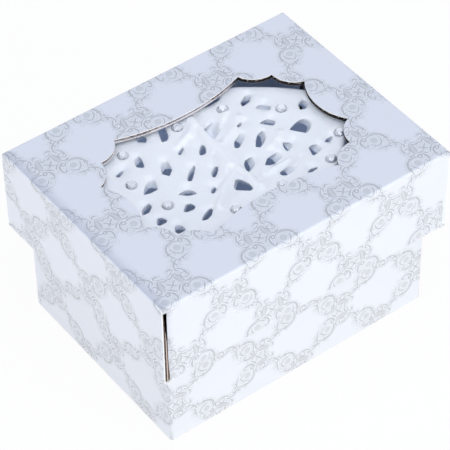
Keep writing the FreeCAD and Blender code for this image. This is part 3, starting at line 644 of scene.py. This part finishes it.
def dome_crown(x, y):
    oval = np.hypot(x / DOME_END, y / DOME_SIDE)
    crown = DOME_TOP - RELIEF - CROWN_FALL * oval**4
    level = np.ones_like(x)
    for branch in BRANCHES:
        away = stroke_distance(x, y, branch)
        level = level * (1 - np.exp(-((away / RIDGE_BREADTH) ** 2)))
    crown = crown + RIDGE_HEIGHT * (1 - level)
    for crease in CREASES:
        away = stroke_distance(x, y, crease)
        crown = crown - CREASE_DEPTH * np.exp(-((away / CREASE_BREADTH) ** 2))
    for corners, reach in OPENINGS + DIMPLES:
        middle_x, middle_y = np.mean(corners, axis=0)
        start, end = ((middle_x + run * reach[0], middle_y + run * reach[1]) for run in FUNNEL_RUN)
        away = line_distance(x, y, start, end)
        crown = crown - FUNNEL_DEPTH * np.exp(-((away / FUNNEL_BREADTH) ** 2))
    for centre_x, centre_y in stone_places:
        away = np.hypot(x - centre_x, y - centre_y)
        slope = np.exp(-(((away - SEAT_RIM_RADIUS) / SEAT_RIM_SLOPE) ** 2))
        crown = crown + SEAT_RIM * np.where(away < SEAT_RIM_RADIUS, 1.0, slope)
    return crown


def scoop(x, y, sunk, depth, corners, reach, pierced):
    seen_x, seen_y = x - LINE_OF_CUT[0] * sunk, y - LINE_OF_CUT[1] * sunk
    cut = outline_distance(seen_x, seen_y, corners)
    if not pierced:
        cut = np.maximum(cut, depth - DIMPLE_DEPTH)
    for step in range(1, SCOOP_STEPS + 1):
        share = step / SCOOP_STEPS
        shift = share * SCOOP_STRETCH
        outline = outline_distance(seen_x - shift * reach[0], seen_y - shift * reach[1], corners)
        outline = outline + SCOOP_TAPER * share
        floor_depth = (SCOOP_DEPTH if pierced else DIMPLE_DEPTH) * (1 - share) ** SCOOP_CURVE
        cut = -smooth_max(-cut, -np.maximum(outline, depth - floor_depth), SCOOP_SMOOTHING)
    return cut


def dome_cap():
    x = np.arange(-DOME_END - GRID_MARGIN, DOME_END + GRID_MARGIN, VOXEL)
    y = np.arange(-DOME_SIDE - GRID_MARGIN, DOME_SIDE + GRID_MARGIN, VOXEL)
    z = np.arange(DOME_TOP - CAP_DEPTH, DOME_TOP + GRID_HEADROOM, VOXEL)
    plan_x, plan_y = np.meshgrid(x, y, indexing="ij")
    crown = dome_crown(plan_x, plan_y)
    seats = np.min([np.hypot(plan_x - a, plan_y - b) for a, b in stone_places], axis=0) - SEAT_RADIUS
    height = z[None, None, :]
    outer_side = dome_plan(plan_x, plan_y, 0.0)[:, :, None]
    outside = smooth_max(height - crown[:, :, None], outer_side, SHOULDER)
    ceiling = height - (DOME_TOP - SHELL)
    inside = np.maximum(ceiling, dome_plan(plan_x, plan_y, SHELL)[:, :, None])
    shell = np.maximum(outside, -inside)
    depth = crown[:, :, None] - height
    sunk = DOME_TOP - SEEN_LEVEL - height
    for shapes, pierced in ((OPENINGS, True), (DIMPLES, False)):
        for corners, reach in shapes:
            near_x = np.abs(x - corners[0][0]) < SCOOP_ROOM
            near_y = np.abs(y - corners[0][1]) < SCOOP_ROOM
            block = np.ix_(near_x, near_y, np.ones(len(z), bool))
            across, along = plan_x[near_x][:, near_y, None], plan_y[near_x][:, near_y, None]
            cut = scoop(across, along, sunk, depth[block], corners, reach, pierced)
            shell[block] = smooth_max(shell[block], -cut, LIP)
    seat_floor = (DOME_TOP - SEAT_DEPTH) - height
    shell = np.maximum(shell, -np.maximum(seats[:, :, None], seat_floor))
    grid = openvdb.FloatGrid(background=FAR_OUTSIDE)
    grid.copyFromArray(np.ascontiguousarray(shell, dtype=np.float32))
    grid.transform = openvdb.createLinearTransform(voxelSize=VOXEL)
    points, quads = grid.convertToQuads(isovalue=0.0)
    return points + np.array([x[0], y[0], z[0]]), quads[:, ::-1]


points, quads = dome_cap()
cap = bpy.data.meshes.new("porcelain")
cap.from_pydata((points * MM).tolist(), [], quads.tolist())
porcelain = bmesh.new()
porcelain.from_mesh(cap)
cut_height = (DOME_TOP - CAP_DEPTH + CAP_TRIM) * MM
everything = porcelain.verts[:] + porcelain.edges[:] + porcelain.faces[:]
bmesh.ops.bisect_plane(
    porcelain, geom=everything, plane_co=(0, 0, cut_height), plane_no=(0, 0, 1), clear_inner=True
)
open_edges = [edge for edge in porcelain.edges if edge.is_boundary]
wall = bmesh.ops.extrude_edge_only(porcelain, edges=open_edges)["geom"]
for item in wall:
    if isinstance(item, bmesh.types.BMVert):
        item.co.z = DOME_FOOT * MM
foot_edges = [item for item in wall if isinstance(item, bmesh.types.BMEdge) and item.is_boundary]
bmesh.ops.bridge_loops(porcelain, edges=foot_edges)
bmesh.ops.recalc_face_normals(porcelain, faces=porcelain.faces[:])
for face in porcelain.faces:
    face.smooth = True
porcelain.to_mesh(cap)
porcelain.free()
vertex_places = np.array([vertex.co for vertex in cap.vertices]) / MM
# How far each point lies below the crown: it sets the pooled glaze tint and the painted shade and glow
# of the deeper parts.
below_crown = DOME_TOP - RELIEF - vertex_places[:, 2]
hollow = cap.attributes.new("hollow", "FLOAT", "POINT")
hollow.data.foreach_set("value", np.clip(below_crown / SHELL, 0.0, 1.0).astype(np.float32))


def glazed_porcelain():
    material, tree, shader = new_material("glazed porcelain")
    place = add_node(tree, "TexCoord").outputs["Object"]
    pooled_and_shaded = add_node(tree, "Attribute", attribute_name="hollow").outputs["Fac"]
    cloud = add_node(tree, "TexNoise", place, None, GLAZE_CLOUD_SCALE, 3.0, 0.5)
    speck = add_node(tree, "TexNoise", place, None, GLAZE_SPECK_SCALE, 2.0, 0.5)
    white = blend_colours(tree, cloud.outputs[0], GLAZE_WHITE, GLAZE_CREAM)
    # Deeper parts turn blue grey: partly glaze pooled in the hollows, partly painted shade.
    glaze = blend_colours(tree, pooled_and_shaded, white, GLAZE_POOLED_AND_SHADED)
    # The deepest parts and the inside glow faintly: painted light, not a lamp.
    deep = add_node(tree, "MapRange", pooled_and_shaded, 0.5, 1.0, 0.0, 1.0)
    deep.interpolation_type = "SMOOTHSTEP"
    painted_glow = blend_colours(tree, deep.outputs[0], NO_LIGHT, PAINTED_GLOW)
    tree.links.new(painted_glow, shader.inputs["Emission Color"])
    shader.inputs["Emission Strength"].default_value = 1.0
    tree.links.new(glaze, shader.inputs["Base Color"])
    sheen = reckon(tree, "MULTIPLY_ADD", speck.outputs[0], *GLAZE_SHEEN)
    tree.links.new(sheen, shader.inputs["Roughness"])
    shader.inputs["Subsurface Weight"].default_value = 0.3
    shader.inputs["Subsurface Radius"].default_value = (1.0, 1.05, 1.2)
    shader.inputs["Subsurface Scale"].default_value = 1.4 * MM
    shader.inputs["Coat Weight"].default_value = 0.5
    shader.inputs["Coat Roughness"].default_value = 0.06
    bump(tree, shader, cloud.outputs[0], *GLAZE_RIPPLE)
    return material


cap.materials.append(glazed_porcelain())
dome = bpy.data.objects.new("porcelain_dome", cap)
bpy.context.scene.collection.objects.link(dome)
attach(dome, "base")
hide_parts("pierced_dome")

# Stones: clear flat-backed stones with cut crowns, foiled underneath and glued into the seats of
# the porcelain. They are drawn opaque, and each facet's reflection is painted into its colour.
STONE_RADIUS = 1.7
STONE_HEIGHT = 1.0
STONE_GLUE = 0.03
STONE_TURN = 0.7
FACETS = 8
# Dark and light tones of the painted facet reflections.
STONE_SHADED_FACET = (0.22, 0.25, 0.30, 1.0)
STONE_LIT_FACET = (0.96, 0.97, 1.0, 1.0)
HAZE_SCALE = 1500.0
GLINT_SEED = 7
GLINT_FALL = 1.5
GLINT_SHARE = 0.75
GLINT_STRAY = (-0.15, 0.25)
# Rings of a stone from the table down: share of its radius, share of its height, how many corners
# and how far they are turned, in corners.
STONE_RINGS = (
    (0.58, 1.0, FACETS, 0.0),
    (0.84, 0.66, FACETS, 0.5),
    (1.0, 0.25, 2 * FACETS, 0.0),
    (1.0, 0.0, 2 * FACETS, 0.0),
)


def cut_stone(builder, centre_x, centre_y, turn):
    rings = []
    for share, rise, count, shift in STONE_RINGS:
        ring = []
        for index in range(count):
            angle = turn + 2 * math.pi * (index + shift) / count
            radius = share * STONE_RADIUS
            height = DOME_TOP - SEAT_DEPTH + STONE_GLUE + rise * (STONE_HEIGHT - STONE_GLUE)
            spot = (centre_x + radius * math.cos(angle), centre_y + radius * math.sin(angle), height)
            ring.append(builder.verts.new(Vector(spot) * MM))
        rings.append(ring)
    table, crown, girdle, back = rings
    builder.faces.new(table)
    for index in range(FACETS):
        after = (index + 1) % FACETS
        before = (index - 1) % FACETS
        middle = (2 * index + 1) % (2 * FACETS)
        builder.faces.new((table[index], crown[index], table[after]))
        builder.faces.new((table[index], crown[before], girdle[2 * index], crown[index]))
        builder.faces.new((crown[index], girdle[2 * index], girdle[middle]))
        builder.faces.new((crown[index], girdle[middle], girdle[(2 * index + 2) % (2 * FACETS)]))
    for index in range(2 * FACETS):
        after = (index + 1) % (2 * FACETS)
        builder.faces.new((girdle[index], back[index], back[after], girdle[after]))
    builder.faces.new(back[::-1])


def clear_stone():
    material, tree, shader = new_material("clear stone")
    painted_glint = add_node(tree, "Attribute", attribute_name="glint").outputs["Fac"]
    place = add_node(tree, "TexCoord").outputs["Object"]
    haze = add_node(tree, "TexNoise", place, None, HAZE_SCALE, 2.0, 0.5)
    tree.links.new(reckon(tree, "MULTIPLY", haze.outputs[0], 0.06), shader.inputs["Roughness"])
    tone = blend_colours(tree, painted_glint, STONE_SHADED_FACET, STONE_LIT_FACET)
    tree.links.new(tone, shader.inputs["Base Color"])
    shader.inputs["Metallic"].default_value = 0.25
    shader.inputs["IOR"].default_value = 1.56
    shader.inputs["Coat Weight"].default_value = 1.0
    return material


cut_stones = bmesh.new()
for index, (centre_x, centre_y) in enumerate(stone_places):
    cut_stone(cut_stones, centre_x, centre_y, STONE_TURN * index)
bmesh.ops.recalc_face_normals(cut_stones, faces=cut_stones.faces[:])
stone_mesh = bpy.data.meshes.new("cut_stones")
cut_stones.to_mesh(stone_mesh)
cut_stones.free()
stone_mesh.materials.append(clear_stone())
# Painted reflections: facets that face up get lighter tones, with a random share on top.
lively = np.random.default_rng(GLINT_SEED)
slopes = np.array([face.normal.z for face in stone_mesh.polygons])
stray = lively.uniform(*GLINT_STRAY, len(slopes))
shares = np.clip(slopes, 0.0, 1.0) ** GLINT_FALL * GLINT_SHARE + stray
glint = stone_mesh.attributes.new("glint", "FLOAT", "FACE")
glint.data.foreach_set("value", np.clip(shares, 0.0, 1.0).astype(np.float32))
stones = bpy.data.objects.new("cut_stones", stone_mesh)
bpy.context.scene.collection.objects.link(stones)
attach(stones, "base")
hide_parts("set_stones")


# Lid top plies: the wavy ply and the inner liner under the printed sheet, laid bare all round the
# die-cut window. The cut has pressed the pale liner over the flutes. At the right end of the window
# the cut edge is painted near black as shade, and the hollows between the flutes are painted shade.
FLUTE_PITCH = 2.3 * MM
FLUTE_TAN = (0.72, 0.60, 0.53, 1.0)
# Near black painted into the hollows between the flutes, as the shade inside them.
FLUTE_HOLLOW_SHADE = (0.010, 0.008, 0.009, 1.0)
LINER_FACE = 0.02 * MM
LINER_PALE = (0.80, 0.74, 0.755, 1.0)
PAINTED_SHADOW_FROM = 17.0 * MM
PAINTED_SHADOW_TO = 21.0 * MM
PALE_PLY = (0.42, 0.56)
PALE_RAGGED = 0.3
CRUSH_SCALE = 420.0
CRUSH_SHIFT = 5.0
CRUSH_RISE = 0.5
WAVE_HEIGHT = 0.26
WAVE_MIDDLE = 0.42
WAVE_EDGE = (0.10, 0.18)


def raw_surface(tree, shader, colour, height, roughness):
    tree.links.new(colour, shader.inputs["Base Color"])
    shader.inputs["Roughness"].default_value = roughness
    bump(tree, shader, height, *RAW_GRAIN)


# Share of painted shade on the window's cut edge, rising from nothing to full towards its right end.
def painted_shadow_share(tree, split):
    return add_node(tree, "MapRange", split.outputs[0], PAINTED_SHADOW_FROM, PAINTED_SHADOW_TO, 0.0, 1.0).outputs[0]


def window_liner(name, underside):
    material, tree, shader = new_material(name)
    place, split = on_the_piece(tree)
    tone, height = paper_fibre(tree, place)
    bare = reckon(tree, "GREATER_THAN", split.outputs[2], underside + LINER_FACE)
    edge = blend_colours(tree, painted_shadow_share(tree, split), LINER_PALE, PAINTED_SHADOW_DARK)
    lined_face(tree, shader, tone, height, bare, edge)
    return material


def open_flutes(name, low, high):
    material, tree, shader = new_material(name)
    place, split = on_the_piece(tree)
    tone, height = paper_fibre(tree, place)
    crush = add_node(tree, "TexNoise", place, None, CRUSH_SCALE, 2.0, 0.6).outputs[0]
    layer = add_node(tree, "MapRange", split.outputs[2], low, high, 0.0, 1.0).outputs[0]
    shift = reckon(tree, "MULTIPLY", crush, CRUSH_SHIFT)
    turn = reckon(tree, "MULTIPLY_ADD", split.outputs[0], 2 * math.pi / FLUTE_PITCH, shift)
    middle = reckon(tree, "MULTIPLY_ADD", crush, CRUSH_RISE, WAVE_MIDDLE)
    wave = reckon(tree, "MULTIPLY_ADD", reckon(tree, "SINE", turn), WAVE_HEIGHT, middle)
    away = reckon(tree, "ABSOLUTE", reckon(tree, "SUBTRACT", layer, wave))
    # Where the wave of the flute leaves off, its hollow is painted near black as shade.
    hollow_shade = add_node(tree, "MapRange", away, *WAVE_EDGE, 0.0, 1.0).outputs[0]
    torn = blend_colours(tree, tone, FLUTE_TAN, raw_board_colour(tree, tone))
    cut = blend_colours(tree, hollow_shade, torn, FLUTE_HOLLOW_SHADE)
    ragged = reckon(tree, "MULTIPLY_ADD", crush, PALE_RAGGED, layer)
    pressed = add_node(tree, "MapRange", ragged, *PALE_PLY, 1.0, 0.0).outputs[0]
    # The pale pressed liner shows only where the edge is not painted dark as shade.
    unshaded = reckon(tree, "SUBTRACT", 1.0, painted_shadow_share(tree, split))
    cut = blend_colours(tree, reckon(tree, "MULTIPLY", pressed, unshaded), cut, LINER_PALE)
    raw_surface(tree, shader, cut, height, 0.92)
    return material


low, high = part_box("lid_top_fluting")
dress("lid_top_fluting", open_flutes("open flutes", low.z, high.z))
low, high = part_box("lid_top_liner")
dress("lid_top_liner", window_liner("lined liner", low.z))


# Lid sides: board walls behind the printed sheet, with bare ends at the corner slits, and the tabs
# of the long sides tucked behind the short ones.
LINER_TAN = (0.74, 0.60, 0.52, 1.0)
END_BROWN = (0.15, 0.085, 0.06, 1.0)
END_INNER = 0.30
END_LINER = (0.40, 0.10)
END_WAVE = (0.10, 0.86)
END_WAVE_EDGE = (0.02, 0.08)
SOILED = (0.035, 0.02, 0.015, 1.0)
SOIL_SHARE = 0.1
COVERED_CORNER = 87.0 * MM


def bare_end_board(name, inner, outer):
    material, tree, shader = new_material(name)
    place, split = on_the_piece(tree)
    tone, height = paper_fibre(tree, place)
    reach = reckon(tree, "ABSOLUTE", split.outputs[0])
    layer = add_node(tree, "MapRange", reach, inner, outer, 0.0, 1.0).outputs[0]
    turn = reckon(tree, "MULTIPLY", split.outputs[2], 2 * math.pi / FLUTE_PITCH)
    wave = reckon(tree, "MULTIPLY_ADD", reckon(tree, "SINE", turn), *END_WAVE)
    away = reckon(tree, "ABSOLUTE", reckon(tree, "SUBTRACT", layer, wave))
    # Where the wave of the flute leaves off, its hollow is painted near black as shade.
    hollow_shade = add_node(tree, "MapRange", away, *END_WAVE_EDGE, 0.0, 1.0).outputs[0]
    flute = blend_colours(tree, hollow_shade, raw_board_colour(tree, tone), FLUTE_HOLLOW_SHADE)
    liner = reckon(tree, "COMPARE", layer, *END_LINER)
    plies = blend_colours(tree, liner, flute, LINER_TAN)
    inside = reckon(tree, "LESS_THAN", layer, END_INNER)
    plies = blend_colours(tree, inside, plies, END_BROWN)
    corner = reckon(tree, "SUBTRACT", split.outputs[0], split.outputs[1])
    covered = reckon(tree, "GREATER_THAN", corner, COVERED_CORNER)
    plies = blend_colours(tree, covered, plies, PAPER_WHITE)
    raw_surface(tree, shader, plies, height, 0.9)
    return material


def raw_board(name):
    material, tree, shader = new_material(name)
    place = add_node(tree, "TexCoord").outputs["Object"]
    tone, height = paper_fibre(tree, place)
    brown = blend_colours(tree, SOIL_SHARE, raw_board_colour(tree, tone), SOILED)
    raw_surface(tree, shader, brown, height, 0.92)
    return material


low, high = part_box("lid_right_wall")
end_board = bare_end_board("board with bare ends", low.x, high.x)
for side in ("left", "right"):
    dress(f"lid_{side}_wall", end_board)
inner_board = raw_board("raw board")
for name in ("lid_front_wall", "lid_back_wall", "lid_corner_tabs"):
    dress(name, inner_board)

# Rolled sides: the printed sheet and its board turned in over the lower edge and folded up inside
# the lid, where they hide the tabs.
LID_PRINT = (28.1, 37.5, 0.0)
rolled_long = printed_paper("printed paper rolled long", flat_map(0, 2), LID_PRINT)
rolled_short = printed_paper("printed paper rolled short", flat_map(2, 1), LID_PRINT)
for side in ("front", "back"):
    dress(f"lid_{side}_inner_wall", rolled_long)
for side in ("left", "right"):
    dress(f"lid_{side}_inner_wall", rolled_short)

# Lid sheet: the printed outer paper of the lid in one piece. It has the scalloped window, folds over
# the four top edges and rolls in under the lower edge. The long sides stop short of the corners and
# leave a slit there, but at the front right corner the sides meet.
WINDOW_POINTS = ((22.3, 23.8), (30.8, 18.5), (36.7, 10.3))
LONG_SAG = 3.7
END_SAG = 3.5
SMALL_SAG = 1.7
ARC_STEPS = 14
WALL_STEPS = 6
ROLL_STEPS = 10
TOP_PLIES = 1.6 * MM
COVERED_END = 1.6 * MM
SLIT_TOP = 0.35 * MM
SLIT_FOOT = 2.1 * MM
SLIT_BEND = 0.8
PLY_STEP = 0.01 * MM
WALL_START = 2 * MM
END_ZONE = 4 * MM
SIDE_STEPS = 20
LID_FOLD = 0.8 * MM
ROLL = 1.6 * MM
FOLD_SHADE_INSET = 0.3 * MM
lid_low, lid_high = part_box("lid_printed_sheet")


def sagging_arc(start, end, sag):
    start, end = Vector(start), Vector(end)
    middle = (start + end) / 2
    inward = -middle.normalized()
    across = Vector((-(end - start).y, (end - start).x)).normalized()
    if across.dot(inward) < 0:
        across = -across
    centre, radius = circle_through(start, middle + across * sag, end)
    first = math.atan2(start.y - centre.y, start.x - centre.x)
    sweep = math.atan2(end.y - centre.y, end.x - centre.x) - first
    sweep = (sweep + math.pi) % (2 * math.pi) - math.pi
    angles = [first + sweep * step / ARC_STEPS for step in range(ARC_STEPS)]
    return [centre + Vector((math.cos(angle), math.sin(angle))) * radius for angle in angles]


def window_outline():
    quarter = list(WINDOW_POINTS)
    corners = quarter + [(x, -y) for x, y in quarter[::-1]]
    corners += [(-x, -y) for x, y in quarter] + [(-x, y) for x, y in quarter[::-1]]
    sags = (SMALL_SAG, SMALL_SAG, END_SAG, SMALL_SAG, SMALL_SAG, LONG_SAG) * 2
    outline = []
    for index, sag in enumerate(sags):
        outline += sagging_arc(corners[index], corners[(index + 1) % len(corners)], sag)
    return [point * MM for point in outline]


def evenly(first, last, count):
    return [first + (last - first) * step / count for step in range(count + 1)]


def side_profile(depth):
    rows = []
    for step in range(FOLD_STEPS + 1):
        angle = math.pi / 2 * step / FOLD_STEPS
        inset, drop = LID_FOLD * (1 - math.sin(angle)), LID_FOLD * (1 - math.cos(angle))
        rows.append((inset, drop, LID_FOLD * angle))
    run = LID_FOLD * math.pi / 2
    wall = depth - LID_FOLD - ROLL
    plies = TOP_PLIES - LID_FOLD
    for down in [plies, plies + PLY_STEP] + evenly(plies + WALL_START, wall, WALL_STEPS):
        rows.append((0.0, LID_FOLD + down, run + down))
    for step in range(1, ROLL_STEPS + 1):
        angle = math.pi * step / ROLL_STEPS
        turn = (ROLL * (1 - math.cos(angle)), ROLL * math.sin(angle), ROLL * angle)
        rows.append((turn[0], depth - ROLL + turn[1], run + wall + turn[2]))
    return rows


lid_sheet = bmesh.new()
lid_places = {}
lid_depth = lid_high.z - lid_low.z
rows = side_profile(lid_depth)


def mitred_end(corner, inset, drop):
    return corner if drop >= LID_FOLD else corner - inset


def covered_end(corner, inset, drop):
    return mitred_end(corner, inset, drop) if drop <= TOP_PLIES else corner - COVERED_END


def slit_end(corner, inset, drop):
    return corner - SLIT_TOP - (SLIT_FOOT - SLIT_TOP) * (drop / lid_depth) ** SLIT_BEND


def folded_side(side_high, end_high, direction, along_x, ends):
    middle = evenly(-end_high + END_ZONE, end_high - END_ZONE, SIDE_STEPS)
    grid = []
    for inset, drop, run in rows:
        first, last = (end(end_high, inset, drop) for end in ends)
        reach = direction * (side_high - inset)
        sheet = direction * (side_high - LID_FOLD + run)
        line = []
        for station in [-first] + middle + [last]:
            spot = (station, reach) if along_x else (reach, station)
            vertex = lid_sheet.verts.new((*spot, lid_high.z - drop))
            lid_places[vertex] = (station, sheet) if along_x else (sheet, station)
            line.append(vertex)
        grid.append(line)
    for upper, lower in zip(grid, grid[1:]):
        for index in range(len(middle) + 1):
            lid_sheet.faces.new((upper[index], upper[index + 1], lower[index + 1], lower[index]))
    return grid[0]


front_edge = folded_side(lid_high.y, lid_high.x, -1, True, (slit_end, covered_end))
back_edge = folded_side(lid_high.y, lid_high.x, 1, True, (slit_end, slit_end))
left_edge = folded_side(lid_high.x, lid_high.y, -1, False, (mitred_end, mitred_end))
right_edge = folded_side(lid_high.x, lid_high.y, 1, False, (mitred_end, mitred_end))
window = []
for point in window_outline():
    vertex = lid_sheet.verts.new((point.x, point.y, lid_high.z))
    lid_places[vertex] = (point.x, point.y)
    window.append(vertex)
outer = front_edge[:-1] + right_edge + back_edge[::-1] + left_edge[::-1]
top_edges = []
for loop in (outer, window):
    for first, second in zip(loop, loop[1:] + loop[:1]):
        joined = lid_sheet.edges.get((first, second)) or lid_sheet.edges.new((first, second))
        top_edges.append(joined)
bmesh.ops.triangle_fill(lid_sheet, edges=top_edges, use_beauty=True)
bmesh.ops.recalc_face_normals(lid_sheet, faces=lid_sheet.faces[:])
lid_paper = printed_paper("printed paper lid", sheet_map, LID_PRINT, lid_low.x + FOLD_SHADE_INSET)
sheet_piece("lid_printed_paper", lid_sheet, lid_places, (lid_paper, BARE), "lid", "lid_printed_sheet")

# Floor: a plain white sweep that carries the box and takes its soft shadow. It glows towards the
# camera, so that it melts into the white background.
FLOOR_HALF = 3.0
FLOOR_WHITE = (0.96, 0.945, 0.91, 1.0)
FLOOR_GLOW = 0.93
PURE_WHITE = (1.0, 1.0, 1.0, 1.0)


def seen_directly(tree):
    ray = add_node(tree, "LightPath").outputs
    direct = reckon(tree, "MAXIMUM", ray["Is Camera Ray"], ray["Is Glossy Ray"])
    return reckon(tree, "MAXIMUM", direct, ray["Is Transmission Ray"])


floor_mesh = bpy.data.meshes.new("floor")
floor_signs = ((-1, -1), (1, -1), (1, 1), (-1, 1))
floor_corners = [(x * FLOOR_HALF, y * FLOOR_HALF, 0) for x, y in floor_signs]
floor_mesh.from_pydata(floor_corners, [], [(0, 1, 2, 3)])
floor = bpy.data.objects.new("floor", floor_mesh)
bpy.context.scene.collection.objects.link(floor)
floor_material, floor_tree, floor_shader = new_material("white floor")
floor_shader.inputs["Base Color"].default_value = FLOOR_WHITE
floor_shader.inputs["Roughness"].default_value = 0.8
white_glow = add_node(floor_tree, "Emission", PURE_WHITE, 1.0)
glow_share = reckon(floor_tree, "MULTIPLY", seen_directly(floor_tree), FLOOR_GLOW)
shown = add_node(floor_tree, "MixShader", glow_share, floor_shader.outputs[0], white_glow.outputs[0])
floor_tree.links.new(shown.outputs[0], floor_tree.nodes["Material Output"].inputs[0])
floor_mesh.materials.append(floor_material)

# Studio: cool light from all round, a large cool softbox overhead, a low neutral one before the
# front side and a weaker one before the left side. The background is plain white.
scene = bpy.context.scene
scene.view_settings.view_transform = "Standard"
AMBIENT = (0.78, 0.845, 1.0, 1.0)
AMBIENT_STRENGTH = 0.50
LIT_POINT = (0.0, 0.0, 0.03)
world = bpy.data.worlds.new("studio")
scene.world = world
world.use_nodes = True
sky = world.node_tree
ambient = sky.nodes["Background"]
ambient.inputs[0].default_value = AMBIENT
ambient.inputs[1].default_value = AMBIENT_STRENGTH
backdrop = add_node(sky, "Background", PURE_WHITE, 1.0)
chosen = add_node(sky, "MixShader", seen_directly(sky), ambient.outputs[0], backdrop.outputs[0])
sky.links.new(chosen.outputs[0], sky.nodes["World Output"].inputs[0])
# Lamps: name, place, breadth and height in metres, power in watts and colour.
LAMPS = (
    ("key softbox", (0.05, -0.20, 1.30), 1.6, 1.6, 11.2, (0.80, 0.865, 1.0)),
    ("front softbox", (0.20, -1.2, 0.17), 0.9, 0.32, 6.2, (0.97, 0.97, 0.91)),
    ("left softbox", (-1.2, -0.1, 0.17), 0.9, 0.32, 4.6, (0.98, 0.98, 0.97)),
)
for name, place, breadth, height, power, colour in LAMPS:
    lamp = bpy.data.lights.new(name, "AREA")
    lamp.shape = "RECTANGLE"
    lamp.size = breadth
    lamp.size_y = height
    lamp.energy = power
    lamp.color = colour
    softbox = bpy.data.objects.new(name, lamp)
    softbox.location = place
    towards = Vector(LIT_POINT) - Vector(place)
    softbox.rotation_euler = towards.to_track_quat("-Z", "Y").to_euler()
    scene.collection.objects.link(softbox)

# Camera: a long lens above the front left corner, as in the photograph. It is rolled by a degree,
# because the photograph isn't quite level.
CAMERA_PLACE = (-0.3024, -0.4122, 0.5475)
CAMERA_AIM = (0.41583, 0.56829, -0.71002)
CAMERA_ROLL = 0.01825
CAMERA_SENSOR = 36.0
CAMERA_LENS = 197.4
lens = bpy.data.cameras.new("camera")
lens.sensor_width = CAMERA_SENSOR
lens.lens = CAMERA_LENS
camera = bpy.data.objects.new("camera", lens)
camera.location = CAMERA_PLACE
aim = Vector(CAMERA_AIM).normalized()
level = aim.cross(Vector((0, 0, 1))).normalized()
right = Matrix.Rotation(CAMERA_ROLL, 3, aim) @ level
turned = Matrix((right, right.cross(aim), -aim)).transposed()
camera.rotation_euler = turned.to_euler()
scene.collection.objects.link(camera)
scene.camera = camera
